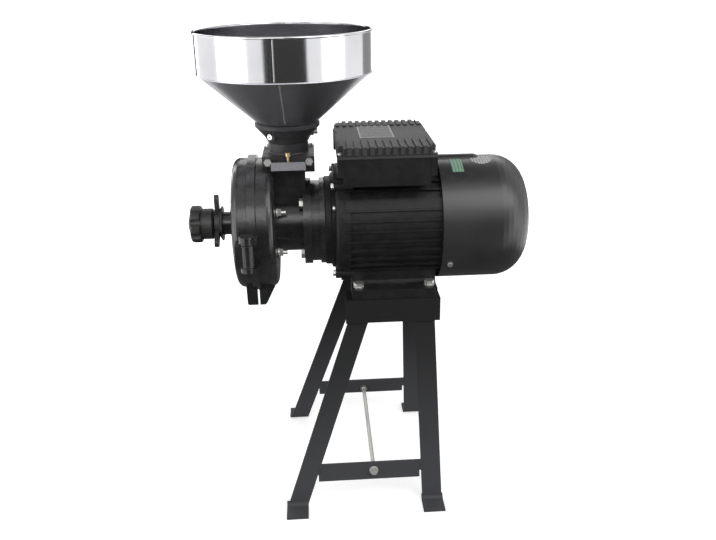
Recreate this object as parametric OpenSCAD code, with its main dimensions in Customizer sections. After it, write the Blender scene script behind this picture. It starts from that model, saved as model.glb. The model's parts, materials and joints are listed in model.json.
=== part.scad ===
// Electric grain mill on a steel stand: single-phase motor, disc mill with a
// hinged front cover, steel hopper with a slide gate, and an adjusting screw.
// X runs along the shaft, from the adjusting knob to the fan cover. Y runs
// from the side of the cover's hinge to the side of its clamp. Z is up.
// Stations along X are counted from the hopper's axis.

/* [Layout] */
// Height of the shaft above the floor
shaft_z = 435; // [400:5:500]
// Hopper axis to the back of the grinding chamber
feed_front = 19.5; // [17:0.5:30]
// Hopper axis to the front of the lantern
feed_back = 18.5; // [17:0.5:30]
// Length of the lantern between mill and motor
lantern_len = 31.5; // [28:0.5:60]
// Running clearance of shafts in bores, on the radius
run_gap = 0.05; // [0.02:0.01:0.1]
// Clearance of bolts in holes, on the radius
bolt_gap = 0.4; // [0.2:0.1:1]
// Clearance between sliding or swinging flat pieces
slide_gap = 0.3; // [0.1:0.1:0.6]

/* [Grinding chamber] */
// Outer radius of the chamber wall
chamber_r = 99; // [95:1:115]
// Wall of the chamber castings
chamber_wall = 7; // [4:0.5:9]
// How far the joint rims stand out from the wall
rim_out = 4.5; // [3:0.5:6]
// Thickness of each joint rim
rim_t = 6; // [4:0.5:9]
// Depth of the chamber half on the motor's side
body_depth = 35.5; // [34:0.5:45]
// Depth of the front cover
cover_depth = 36; // [35:0.5:50]
// Rise of the front cover's domed face
cover_bulge = 7; // [3:0.5:10]
// Rise of the rear half's face
body_bulge = 3; // [1:0.5:6]
// Rounding of the castings' outer edge
edge_r = 11; // [6:0.5:14]
// Outer radius of the feed housing
feed_r = 45; // [43:0.5:52]
// Wall of the feed housing
feed_wall = 6; // [4:0.5:8]
// Width of the throat under the hopper, along X
throat_w = 47; // [46:0.5:56]
// Depth of the throat, along Y
throat_d = 60; // [52:1:66]
// Radius of the lantern's flanges
lantern_r = 66; // [64:0.5:72]
// Thickness of the lantern's front flange
lantern_t = 12; // [8:0.5:14]

/* [Spout] */
// Width of the spout, along Y
spout_w = 84; // [60:1:100]
// How far the spout reaches below the shaft
spout_drop = 120.5; // [118:0.5:140]
// Cover half of the spout, along X from the joint
spout_front = 17.5; // [14:0.5:24]
// Rear half of the spout at its mouth, along X from the joint
spout_back = 12.5; // [10:0.5:18]
// Rear half of the spout at the chamber
spout_back_top = 26.5; // [20:0.5:30]
// Half of the slit between the two spout halves
spout_slit = 1.5; // [0.5:0.1:2]
// Wall of the spout
spout_wall = 5; // [3:0.5:7]

/* [Cover hinge] */
// Distance of the hinge axis from the shaft, along Y
hinge_y = 112; // [110:0.5:120]
// Distance of the hinge axis in front of the joint
hinge_x = 6.5; // [3:0.5:8]
// Height of the hinge's middle below the shaft
hinge_low = 12; // [0:1:20]
// Radius of the hinge knuckles
knuckle_r = 10.5; // [8:0.5:12]
// Height of the cover's knuckle
knuckle_h = 34; // [20:1:44]
// Height of each of the body's knuckles
knuckle_end_h = 8; // [6:0.5:12]
// Radius of the hinge and clamp pins
pin_r = 4; // [3:0.25:5]

/* [Cover clamp] */
// Distance of the clamp's pivot behind the joint
clamp_back = 11; // [9:0.5:14]
// Distance of the clamp's pivot from the shaft, along Y
clamp_y = 113; // [112:0.5:118]
// Length of the swing bolt from its pivot
clamp_len = 46; // [42:1:60]
// Radius of the swing bolt's shank
clamp_r = 4.5; // [3:0.25:5]
// How far the swing bolt is folded back from closed, in degrees
clamp_open = 150; // [120:1:160]
// Thickness of the ear that the swing bolt holds
clamp_ear_t = 12; // [8:0.5:14]

/* [Adjuster] */
// Radius of the boss on the cover
boss_r = 17.5; // [15:0.5:22]
// Length of the boss
boss_len = 14; // [8:0.5:16]
// Radius of the adjusting screw
screw_r = 10; // [8:0.5:12]
// Pitch of the adjusting screw
screw_pitch = 2.5; // [1.5:0.25:3]
// Radius of the lock washer
washer_r = 26.4; // [22:0.2:30]
// Thickness of the lock washer
washer_t = 4; // [3:0.5:7]
// Radius of the lock nut's hub
nut_hub_r = 20; // [16:0.5:24]
// Reach of the lock nut's three ears
nut_ear_r = 45.5; // [36:0.5:50]
// Width of an ear
nut_ear_w = 13; // [9:0.5:18]
// Thickness of the lock nut
nut_t = 7.5; // [5:0.5:10]
// Space between lock nut and knob
knob_gap = 1.5; // [1.3:0.1:3]
// Radius of the knob's body
knob_r = 23.5; // [20:0.5:28]
// Length of the knob's body
knob_len = 21; // [16:0.5:30]
// Radius of the knob's lobed rim
knob_rim_r = 28.5; // [26:0.5:34]
// Length of the lobed rim
knob_rim_len = 14; // [10:0.5:20]
// Number of lobes on the rim
knob_lobes = 8; // [6:1:12]
// Rise of the knob's end face
knob_crown = 4; // [1:0.5:6]

/* [Grinding discs] */
// Radius of the grinding discs
disc_r = 76; // [72:0.5:80]
// Radius of the stationary disc's eye
disc_eye_r = 32; // [30:0.5:34]
// Thickness of the stationary disc
fixed_disc_t = 10; // [8:0.5:12]
// Thickness of the rotating disc
moving_disc_t = 11; // [8:0.5:14]
// Gap between the discs when set to the finest grind
grind_gap = 0.5; // [0.3:0.1:1]
// Number of grinding ridges on a disc
ridge_count = 18; // [12:2:24]
// Height of a grinding ridge
ridge_h = 1.5; // [1:0.25:2.5]
// Thickness of the carrier plate
carrier_t = 6; // [4:0.5:8]
// Radius of the carrier's hub
hub_r = 19; // [17:0.5:22]
// Radius of the thrust ball
ball_r = 5; // [3.5:0.25:6]

/* [Shaft and auger] */
// Radius of the shaft in the mill
shaft_r = 12; // [10:0.25:12.5]
// Radius of the shaft in the bearings
seat_shaft_r = 15; // [13:0.5:16]
// Radius of the auger's flight
auger_r = 37; // [33:0.5:38]
// Radius of the auger's sleeve
auger_core_r = 17; // [15:0.5:20]
// Thickness of the auger's flight
flight_t = 5; // [3:0.5:7]
// Turns of the auger's flight
auger_turns = 1.25; // [0.75:0.25:2]

/* [Hopper] */
// Radius of the hopper's band
hopper_r = 125.5; // [110:0.5:140]
// Height of the hopper's band
band_h = 57; // [40:1:80]
// Height of the cone from band to seat lip
cone_h = 72; // [60:1:90]
// Sheet of the hopper
sheet_t = 1; // [0.8:0.1:2]
// Radius of the rolled rim bead
bead_r = 1.8; // [1.5:0.1:3]
// Height of the seat lip's top above the shaft
seat_top = 155; // [150:1:170]
// Radius of the seat lip
lip_r = 47.5; // [44:0.5:56]
// Height of the seat lip
lip_h = 7; // [5:0.5:10]
// Radius of the seat's neck
neck_r = 29.5; // [26:0.5:32]
// Radius of the passage through seat and throat
passage_r = 20; // [18:0.5:21]
// Width of the square joint flange
flange_w = 76; // [74:0.5:84]
// Thickness of the seat's flange
seat_flange_t = 15.5; // [12:0.5:18]
// Thickness of the throat's flange
throat_flange_t = 8; // [6:0.5:10]
// Half the distance between flange bolts
flange_bolt = 30; // [29.5:0.5:33]
// Thickness of the slide gate
gate_t = 2.6; // [2:0.2:3]
// Width of the slide gate
gate_w = 42; // [42:0.5:46]
// Width of the gate's bent-up tab
tab_w = 50; // [44:1:56]
// Height of the gate's bent-up tab
tab_h = 12; // [8:0.5:16]

/* [Motor] */
// Length of the finned frame
frame_len = 149; // [130:1:180]
// Radius of the frame under its fins
frame_r = 84; // [80:0.5:88]
// Height of a fin
fin_h = 4.5; // [3:0.5:7]
// Thickness of a fin
fin_t = 3; // [2:0.1:4]
// Number of fins right round
fin_count = 36; // [24:2:48]
// Wall of the frame
frame_wall = 8; // [6:0.5:10]
// Length of the front end shield
shield_len = 29; // [26:0.5:40]
// Radius of the end shield's nose
nose_r = 68; // [64:0.5:74]
// Radius of the end shields at the frame
shield_r = 87; // [84:0.5:90]
// Thickness of the end shield's rim
shield_rim = 8; // [6:0.5:10]
// Length of the rear end shield
rear_shield_len = 16; // [14:0.5:24]
// Room between each end of the frame and the stator core
end_room = 29.5; // [28:0.5:36]
// Inner radius of the stator core
core_bore = 45.5; // [40:0.5:50]
// Air gap between rotor and stator
air_gap = 0.5; // [0.4:0.1:1]
// Width of a ball bearing
bearing_w = 15; // [12:0.5:18]
// Outer radius of the front bearing
bearing_r = 31; // [28:0.5:34]
// Outer radius of the rear bearing
rear_bearing_r = 26; // [24:0.5:30]

/* [Fan cover] */
// Gap between the fins and the fan cover
cover_gap = 3.7; // [2:0.1:8]
// Length of the fan cover
fan_cover_len = 143; // [120:1:170]
// Overlap of the fan cover over the frame
cover_lap = 7; // [4:0.5:12]
// Rounding of the fan cover's end
cover_round = 48; // [30:1:60]
// Rise of the fan cover's end face
cover_dome = 7; // [2:0.5:12]
// Sheet of the fan cover
cover_t = 1.8; // [1:0.1:3]
// Radius of the fan
fan_r = 72; // [60:1:80]
// Number of fan blades
blade_count = 8; // [5:1:12]

/* [Motor foot] */
// Height of the shaft above the stand
foot_h = 100; // [98:0.5:106]
// Distance between foot bolts along X
foot_pitch_x = 107; // [100:1:125]
// Distance between foot bolts along Y
foot_pitch_y = 140; // [136:1:150]
// Length of the feet along X
foot_len = 128; // [124:1:145]
// Thickness of the foot pads
pad_t = 15.5; // [8:0.5:18]
// Radius of the foot bolts
foot_bolt_r = 4; // [3:0.25:5]

/* [Capacitor box] */
// Length of the box along X
box_len = 124; // [115:1:140]
// Width of the box along Y
box_w = 186; // [170:1:200]
// Bottom of the box above the shaft
box_low = 77; // [74:0.5:82]
// Top of the box body above the shaft
box_high = 117; // [114:0.5:125]
// Height of the lid, ribs included
lid_h = 17; // [12:0.5:24]
// How far the lid and its corner ears stand out past the box's ends
lid_out = 7; // [6:0.5:9]
// Wall of box and lid
box_wall = 3; // [2:0.25:4]
// Number of ribs in each row
rib_count = 13; // [8:1:15]
// Width of a rib
rib_w = 6; // [4:0.25:7]
// Height of a rib above the flat of the lid
rib_h = 2; // [1.5:0.25:5]
// Length of the front row's ribs
rib_front = 52; // [36:1:60]
// Length of the rear row's ribs
rib_rear = 36; // [24:1:60]
// Radius of the start capacitor
start_cap_r = 21; // [18:0.5:22]
// Radius of the run capacitor
run_cap_r = 18; // [14:0.5:20]

/* [Stand] */
// Length of the stand's top channels
channel_len = 143; // [138:1:160]
// Height of the channel's outer face
channel_h = 37; // [30:1:50]
// Width of the channel's top plate
channel_w = 44; // [40:1:48]
// Half the width of the stand at its top
stand_top = 88; // [86:0.5:96]
// Half the width of the stand where the legs meet the floor
stand_foot = 130; // [110:1:150]
// Steel of the stand
steel_t = 3.5; // [2:0.25:4]
// Width of a leg
leg_w = 31; // [24:1:36]
// Splay of the legs under the mill, along X
splay_left = 103; // [60:1:120]
// Splay of the legs under the fan, along X
splay_right = 10; // [0:1:40]
// Length of a foot tab
tab_len = 30; // [20:1:40]
// Height of the front stretcher's middle
stretcher_front = 55; // [50:1:120]
// Height of the rear stretcher's middle
stretcher_rear = 70; // [50:1:120]
// Width of the stretchers
stretcher_w = 28; // [20:1:34]
// Radius of the tie rod
rod_r = 3.25; // [2.5:0.25:5]

/* [Hidden] */

$fn = 64;
eps = 0.01;
black_paint = [0.09, 0.09, 0.10];
cast_black = [0.13, 0.13, 0.14];
zinc = [0.72, 0.72, 0.70];
dark_steel = [0.45, 0.45, 0.46];

// Stations along X, from the hopper's axis.
joint_x = -feed_front - body_depth;
face_x = joint_x - cover_depth;
boss_x = face_x - boss_len;
washer_x = boss_x - washer_t;
nut_x = washer_x - nut_t;
knob_x = nut_x - knob_gap;
rim_x = knob_x - knob_len;
knob_end_x = rim_x - knob_rim_len - knob_crown;
lantern_end_x = feed_back + lantern_len;
frame_x = lantern_end_x + shield_len;
frame_end_x = frame_x + frame_len;
fan_end_x = frame_end_x - cover_lap + fan_cover_len;
mid_x = (knob_end_x + fan_end_x) / 2;
motor_mid_x = frame_x + frame_len / 2 - 2.5;

core_len = frame_len - 2 * end_room;
cover_r = frame_r + fin_h + cover_gap + cover_t;

// Heights above the floor.
stand_z = shaft_z - foot_h;
lip_z = shaft_z + seat_top;
throat_top = 95;
gate_z = shaft_z + throat_top;
seat_z = gate_z + seat_flange_t;

// Inside of the chamber.
cavity_r = chamber_r - chamber_wall;
rear_wall_x = -feed_front - chamber_wall - body_bulge + 3;
fixed_disc_x = rear_wall_x - fixed_disc_t;
moving_disc_x = fixed_disc_x - grind_gap;
carrier_x = moving_disc_x - moving_disc_t;
hub_end_x = carrier_x - carrier_t - 18;
shaft_end_x = hub_end_x + 12;
feed_bore_r = feed_r - feed_wall;
fixed_bolt_r = 62;
fixed_bolt_angles = [30, -30, 150, 210];

// Shorthands.
function hex_r(af) = af / 2 / cos(30);
function arc(c, r, a0, a1, n = 6) =
    [for (i = [0:n]) c + r * [cos(a0 + (a1 - a0) * i / n), sin(a0 + (a1 - a0) * i / n)]];

module at_origin() {
    translate([-mid_x, 0, 0]) children();
}

// Puts +Z of its children on +X, on the shaft's axis, at a station.
module on_shaft(x) {
    at_origin() translate([x, 0, shaft_z]) rotate([0, 90, 0]) children();
}

// In on_shaft: a place at an angle above the hinge side's horizontal.
module round_shaft(angle, r) {
    rotate([0, 0, -90 - angle]) translate([r, 0, 0]) children();
}

// A place on the hopper's axis at a height.
module on_hopper(z) {
    at_origin() translate([0, 0, z]) children();
}

module ring(ro, ri, h) {
    difference() {
        cylinder(r = ro, h = h);
        translate([0, 0, -eps]) cylinder(r = ri, h = h + 2 * eps);
    }
}

// Bolt with its head's underside at z = 0 and its shank down to -len.
module hex_bolt(r, len, af, head_h) {
    cylinder(r = hex_r(af), h = head_h, $fn = 6);
    translate([0, 0, -len]) cylinder(r = r, h = len, $fn = 24);
}

module hex_nut(r, af, h) {
    difference() {
        cylinder(r = hex_r(af), h = h, $fn = 6);
        translate([0, 0, -eps]) cylinder(r = r + run_gap, h = h + 2 * eps, $fn = 24);
    }
}

// Round-headed screw with a cross slot, head's underside at z = 0.
module pan_screw(r, len, head_r, head_h) {
    difference() {
        cylinder(r = head_r, h = head_h, $fn = 24);
        for (a = [0, 90]) rotate([0, 0, a])
            translate([-head_r * 0.6, -0.4, head_h * 0.5]) cube([head_r * 1.2, 0.8, head_h]);
    }
    translate([0, 0, -len]) cylinder(r = r, h = len, $fn = 24);
}

// ---------------------------------------------------------------- chamber

// Outside of a chamber half, its joint face at z = 0 and its closed face up.
module dish_outside(depth, bulge) {
    flat_r = chamber_r - edge_r;
    rotate_extrude($fn = 96) polygon(concat(
        [[0, 0], [chamber_r + rim_out, 0], [chamber_r + rim_out, rim_t], [chamber_r, rim_t + 1]],
        arc([flat_r, depth - bulge - edge_r], edge_r, 0, 80, 5),
        [for (i = [0:5]) let (r = flat_r * (1 - i / 5)) [r, depth - bulge * pow(r / flat_r, 2)]]));
}

module dish_inside(depth, bulge) {
    floor_z = depth - chamber_wall - bulge + 3;
    rotate_extrude($fn = 96)
        polygon([[0, -eps], [cavity_r, -eps], [cavity_r, floor_z - 7], [cavity_r - 7, floor_z],
            [0, floor_z]]);
}

// Knuckle with a root that runs back into the casting on the side of +X or -X.
module knuckle(z0, h, side) {
    at_origin() translate([joint_x - hinge_x, -hinge_y, z0]) {
        cylinder(r = knuckle_r, h = h, $fn = 48);
        root_x = side > 0 ? hinge_x : -knuckle_r - 6;
        root_w = side > 0 ? 9 : knuckle_r + 6 + hinge_x - slide_gap;
        translate([root_x, -knuckle_r + 2, 0]) cube([root_w, knuckle_r + 16, h]);
    }
}

module knuckle_room(z0, h) {
    at_origin() translate([joint_x - hinge_x, -hinge_y, z0 - slide_gap])
        cylinder(r = knuckle_r + 0.8, h = h + 2 * slide_gap, $fn = 48);
}

hinge_z = shaft_z - hinge_low - knuckle_h / 2;

module pin_hole(x, y, z0, h, r) {
    at_origin() translate([x, y, z0 - eps]) cylinder(r = r, h = h + 2 * eps, $fn = 32);
}

// Profile of a spout half in XZ, turned up into a solid across Y.
module spout_slab(points, width) {
    at_origin() translate([0, width / 2, 0]) rotate([90, 0, 0])
        linear_extrude(width) polygon(points);
}

spout_z = shaft_z - spout_drop;
spout_top_z = shaft_z - chamber_r + 18;

module mill_body_outside() {
    on_shaft(joint_x) dish_outside(body_depth, body_bulge);
    // Feed housing, with the bosses for the stationary disc's bolts.
    on_shaft(-feed_front - body_bulge - 3)
        cylinder(r = feed_r, h = feed_front + feed_back + body_bulge + 3);
    for (a = fixed_bolt_angles)
        on_shaft(-feed_front - body_bulge - 3) round_shaft(a, fixed_bolt_r)
            cylinder(r = 9, h = body_bulge + 2, $fn = 32);
    // Throat and its square flange.
    at_origin() translate([-throat_w / 2, -throat_d / 2, shaft_z])
        cube([throat_w, throat_d, throat_top - throat_flange_t + eps]);
    at_origin() translate([-flange_w / 2, -flange_w / 2, gate_z - throat_flange_t])
        cube([flange_w, flange_w, throat_flange_t + 1]);
    // Lantern: two flanges and the drum between them.
    on_shaft(feed_back) cylinder(r = lantern_r, h = lantern_t);
    on_shaft(lantern_end_x - 7) cylinder(r = lantern_r, h = 7);
    on_shaft(feed_back + lantern_t - 1)
        cylinder(r = lantern_r - 4, h = lantern_len - lantern_t - 5);
    // Rear half of the spout.
    spout_slab([[joint_x + spout_slit, spout_z], [joint_x + spout_back - 3, spout_z],
        [joint_x + spout_back, spout_z + 3], [joint_x + spout_back_top, spout_top_z - 8],
        [joint_x + spout_back_top, spout_top_z + 8], [joint_x, spout_top_z + 8],
        [joint_x, spout_z + 27.5], [joint_x + spout_slit, spout_z + 24.5]], spout_w);
    // Hinge knuckles and the clamp's fork.
    knuckle(hinge_z - knuckle_end_h, knuckle_end_h, 1);
    knuckle(hinge_z + knuckle_h, knuckle_end_h, 1);
    at_origin() translate([joint_x + clamp_back, clamp_y, shaft_z - 13])
        cylinder(r = 8, h = 26, $fn = 40);
    at_origin() translate([joint_x + clamp_back - 8, clamp_y - 22, shaft_z - 13])
        cube([16, 22, 26]);
}

module casting() {
    difference() {
        mill_body_outside();
        // Flat seat of the hopper's flange, also on the chamber's edge.
        on_hopper(gate_z) translate([-flange_w / 2 - slide_gap, -flange_w / 2 - slide_gap, 0])
            cube([flange_w + 2 * slide_gap, flange_w + 2 * slide_gap, 30]);
        on_shaft(joint_x) dish_inside(body_depth, body_bulge);
        on_shaft(joint_x) cylinder(r = feed_bore_r, h = feed_back - joint_x + 4);
        on_shaft(feed_back) cylinder(r = seat_shaft_r + 4, h = lantern_len + 1);
        // Open inside of the lantern.
        on_shaft(feed_back + lantern_t) cylinder(r = 46, h = lantern_len - lantern_t - 7);
        on_hopper(shaft_z) cylinder(r = passage_r, h = throat_top + 1);
        // Groove for the slide gate, open towards the hinge side.
        at_origin() translate([-gate_w / 2 - slide_gap, -flange_w / 2 - 1, gate_z - gate_t - slide_gap])
            cube([gate_w + 2 * slide_gap, flange_w / 2 + 1 + passage_r + 4.5, gate_t + slide_gap + eps]);
        // Chute through the chamber wall.
        at_origin() translate([joint_x - 1, -spout_w / 2 + spout_wall, spout_z - 1])
            intersection() {
                cube([spout_back + 1 - spout_wall + 3, spout_w - 2 * spout_wall, 44]);
            }
        // Bolts behind the gate: a blind one over the chamber, a through one over the lantern.
        for (sx = [-1, 1])
            on_hopper(gate_z) translate([sx * flange_bolt, flange_bolt, sx < 0 ? -5.5 : -throat_flange_t - 1])
                cylinder(r = 3 + (sx < 0 ? run_gap : bolt_gap), h = 20, $fn = 32);
        for (a = fixed_bolt_angles)
            on_shaft(rear_wall_x - 1) round_shaft(a, fixed_bolt_r)
                cylinder(r = 3 + bolt_gap, h = chamber_wall + 8, $fn = 32);
        for (a = [45:90:315])
            on_shaft(feed_back - 1) round_shaft(a, 56)
                cylinder(r = 4 + bolt_gap, h = lantern_len + 2, $fn = 32);
        knuckle_room(hinge_z, knuckle_h);
        pin_hole(joint_x - hinge_x, -hinge_y, hinge_z - knuckle_end_h,
            knuckle_h + 2 * knuckle_end_h, pin_r);
        // Slot and pivot of the swing bolt.
        at_origin() translate([joint_x + clamp_back - 12, clamp_y - 10, shaft_z - 6 - slide_gap])
            cube([40, 24, 12 + 2 * slide_gap]);
        pin_hole(joint_x + clamp_back, clamp_y, shaft_z - 14, 28, pin_r);
    }
}

// The room behind the chamber, which parts the feed housing from it.
module behind_chamber() {
    at_origin() translate([-feed_front, -300, 0]) cube([400, 600, 900]);
}

module mill_body() {
    color(cast_black) difference() {
        casting();
        behind_chamber();
    }
}

module feed_housing() {
    color(cast_black) intersection() {
        casting();
        behind_chamber();
    }
}

module front_cover() {
    color(cast_black) difference() {
        union() {
            on_shaft(joint_x) mirror([0, 0, 1]) dish_outside(cover_depth, cover_bulge);
            on_shaft(boss_x) cylinder(r = boss_r, h = boss_len + cover_bulge);
            // Flange foot of the boss.
            on_shaft(face_x - 1.5) cylinder(r = boss_r + 6, h = 8);
            spout_slab([[joint_x - spout_slit, spout_z], [joint_x - spout_front + 2, spout_z],
                [joint_x - spout_front, spout_z + 2], [joint_x - spout_front - 1, spout_top_z + 8],
                [joint_x, spout_top_z + 8], [joint_x, spout_z + 27.5],
                [joint_x - spout_slit, spout_z + 24.5]], spout_w);
            knuckle(hinge_z + slide_gap, knuckle_h - 2 * slide_gap, -1);
            // Ear for the swing bolt.
            at_origin() translate([joint_x - clamp_ear_t, clamp_y - 20, shaft_z - 12])
                cube([clamp_ear_t, 29, 24]);
        }
        difference() {
            on_shaft(joint_x) mirror([0, 0, 1]) dish_inside(cover_depth, cover_bulge);
            // Inner boss that guides the thrust pad.
            on_shaft(face_x + 4) cylinder(r = boss_r, h = 9);
        }
        on_shaft(boss_x - 1) cylinder(r = screw_r + run_gap, h = cover_depth + boss_len + 2);
        at_origin() translate([joint_x - spout_front + spout_wall - 1.5, -spout_w / 2 + spout_wall,
            spout_z - 1]) cube([spout_front, spout_w - 2 * spout_wall, 44]);
        knuckle_room(hinge_z - knuckle_end_h, knuckle_end_h);
        knuckle_room(hinge_z + knuckle_h, knuckle_end_h);
        pin_hole(joint_x - hinge_x, -hinge_y, hinge_z, knuckle_h, pin_r + run_gap);
        at_origin() translate([joint_x - clamp_ear_t - 1, clamp_y - clamp_r - 1.5,
            shaft_z - clamp_r - 0.8]) cube([clamp_ear_t + 2, 40, 2 * clamp_r + 1.6]);
    }
}

module pivot_pins() {
    color(cast_black) {
        pin_h = knuckle_h + 2 * knuckle_end_h;
        at_origin() translate([joint_x - hinge_x, -hinge_y, hinge_z - knuckle_end_h]) {
            cylinder(r = pin_r, h = pin_h, $fn = 32);
            translate([0, 0, pin_h]) cylinder(r = pin_r + 2.5, h = 3, $fn = 32);
        }
        at_origin() translate([joint_x + clamp_back, clamp_y, shaft_z - 13]) {
            cylinder(r = pin_r, h = 26, $fn = 32);
            translate([0, 0, 26]) cylinder(r = pin_r + 2, h = 2.5, $fn = 32);
        }
    }
}

// Children stand on the folded swing bolt, +Z away from its pivot.
module on_swing_bolt() {
    at_origin() translate([joint_x + clamp_back, clamp_y, shaft_z])
        rotate([0, 0, -clamp_open]) rotate([0, -90, 0]) children();
}

module swing_bolt() {
    color(zinc) difference() {
        union() {
            at_origin() translate([joint_x + clamp_back, clamp_y, shaft_z - 6])
                cylinder(r = 7.5, h = 12, $fn = 40);
            on_swing_bolt() cylinder(r = clamp_r, h = clamp_len, $fn = 32);
        }
        pin_hole(joint_x + clamp_back, clamp_y, shaft_z - 7, 14, pin_r + run_gap);
    }
}

clamp_nut_at = clamp_back + clamp_ear_t + 7;

module clamp_washer() {
    color(zinc) on_swing_bolt() translate([0, 0, clamp_nut_at])
        ring(8.5, clamp_r + run_gap, 2, $fn = 40);
}

module clamp_nut() {
    color(zinc) on_swing_bolt() translate([0, 0, clamp_nut_at + 2]) hex_nut(clamp_r, 15, 8);
}

// --------------------------------------------------------------- adjuster

thrust_x = hub_end_x + 1.5 - 2 * ball_r - 0.3 + 5.3;

module thrust_pad() {
    color(dark_steel) {
        on_shaft(face_x + 4) cylinder(r = screw_r, h = thrust_x - face_x - 4);
    }
}

module adjusting_screw() {
    color(zinc) on_shaft(rim_x) {
        cylinder(r = screw_r, h = face_x + 4 - rim_x);
    }
}

module adjusting_knob() {
    color(black_paint) on_shaft(0) difference() {
        union() {
            // Body with a bevel at the lock nut's end.
            rotate_extrude() polygon([[0, rim_x - eps], [knob_r, rim_x - eps],
                [knob_r, knob_x - 2.5], [knob_r - 2.5, knob_x], [0, knob_x]]);
            // Lobed rim: a disc with a bead between each pair of hollows.
            difference() {
                rotate_extrude() polygon(concat([[0, rim_x + 2], [knob_rim_r - 3, rim_x + 2]],
                    arc([knob_rim_r - 3, rim_x - 1], 3, 90, 0, 4),
                    arc([knob_rim_r - 4, rim_x - knob_rim_len + 4], 4, 0, -90, 4),
                    [[knob_rim_r - 10, rim_x - knob_rim_len - 1], [8, knob_end_x],
                    [0, knob_end_x]]));
                for (i = [0:knob_lobes - 1])
                    rotate([0, 0, (i + 0.5) * 360 / knob_lobes])
                        translate([knob_rim_r + 3, 0, rim_x - knob_rim_len - 2])
                            cylinder(r = 6.5, h = knob_rim_len + 6, $fn = 32);
            }
        }
        // Blind hole that holds the screw.
        translate([0, 0, rim_x]) cylinder(r = screw_r, h = knob_len + 1);
    }
}

module lock_washer() {
    color(cast_black) on_shaft(washer_x) difference() {
        rotate_extrude() polygon([[0, 0], [washer_r - 4, 0], [washer_r, 2.5],
            [washer_r, washer_t], [0, washer_t]]);
        translate([0, 0, -1]) cylinder(r = screw_r + 0.3, h = washer_t + 2);
    }
}

module lock_nut() {
    ear_tip = nut_ear_w / 2;
    color(cast_black) on_shaft(nut_x) difference() {
        union() {
            cylinder(r = nut_hub_r, h = nut_t);
            for (a = [90, 210, 330]) round_shaft(a, 0) {
                translate([0, -ear_tip, 0.5]) cube([nut_ear_r - ear_tip, nut_ear_w, nut_t - 1]);
                translate([nut_ear_r - ear_tip, 0, 0.5]) cylinder(r = ear_tip, h = nut_t - 1, $fn = 32);
            }
        }
        translate([0, 0, -1]) cylinder(r = screw_r + run_gap, h = nut_t + 2);
    }
}

// ---------------------------------------------------------- grinding discs

// Raised ridges on a disc's face, in a ring, leaning from the radius.
module ridges(r_in, r_out) {
    for (i = [0:ridge_count - 1])
        rotate([0, 0, i * 360 / ridge_count]) translate([r_in, 0, 0]) rotate([0, 0, 22])
            translate([0, -1.5, 0]) cube([(r_out - r_in) * 0.93, 3, ridge_h]);
}

module stationary_disc() {
    color(dark_steel) on_shaft(fixed_disc_x) difference() {
        union() {
            translate([0, 0, ridge_h]) cylinder(r = disc_r, h = fixed_disc_t - ridge_h);
            ridges(disc_eye_r + 6, disc_r);
        }
        translate([0, 0, -1]) cylinder(r = disc_eye_r, h = fixed_disc_t + 2);
        for (a = fixed_bolt_angles) round_shaft(a, fixed_bolt_r) {
            translate([0, 0, -1]) cylinder(r = 3 + bolt_gap, h = fixed_disc_t + 2, $fn = 32);
            translate([0, 0, -1]) cylinder(r = 6, h = 1 + ridge_h + 4, $fn = 32);
        }
    }
}

module disc_bolts() {
    color(zinc) for (a = fixed_bolt_angles)
        on_shaft(fixed_disc_x + ridge_h + 4) round_shaft(a, fixed_bolt_r) {
            translate([0, 0, -3]) cylinder(r = 5.5, h = 3, $fn = 32);
            cylinder(r = 3, h = 24, $fn = 24);
        }
}

module disc_nuts() {
    color(zinc) for (a = fixed_bolt_angles)
        on_shaft(-feed_front - 1) round_shaft(a, fixed_bolt_r) {
            ring(7, 3 + run_gap, 1.5, $fn = 32);
            translate([0, 0, 1.5]) hex_nut(3, 10, 5.5);
        }
}

module rotating_disc() {
    color(dark_steel) on_shaft(carrier_x) difference() {
        union() {
            cylinder(r = disc_r, h = moving_disc_t - ridge_h);
            translate([0, 0, moving_disc_t - ridge_h]) mirror([0, 1, 0])
                ridges(disc_eye_r + 2, disc_r);
        }
        translate([0, 0, -1]) cylinder(r = hub_r + 0.2, h = moving_disc_t + 2);
        for (a = [0:120:240]) rotate([0, 0, a]) translate([48, 0, -1]) {
            cylinder(r = 3 + bolt_gap, h = moving_disc_t + 2, $fn = 32);
            translate([0, 0, moving_disc_t - ridge_h - 3]) cylinder(r = 6, h = 8, $fn = 32);
        }
    }
}

module disc_screws() {
    color(zinc) on_shaft(carrier_x) for (a = [0:120:240]) rotate([0, 0, a])
        translate([48, 0, 0]) {
            translate([0, 0, moving_disc_t - ridge_h - 4]) cylinder(r = 5.5, h = 3, $fn = 32);
            translate([0, 0, -carrier_t]) cylinder(r = 3, h = carrier_t + moving_disc_t - ridge_h - 3.5, $fn = 24);
        }
}

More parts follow.
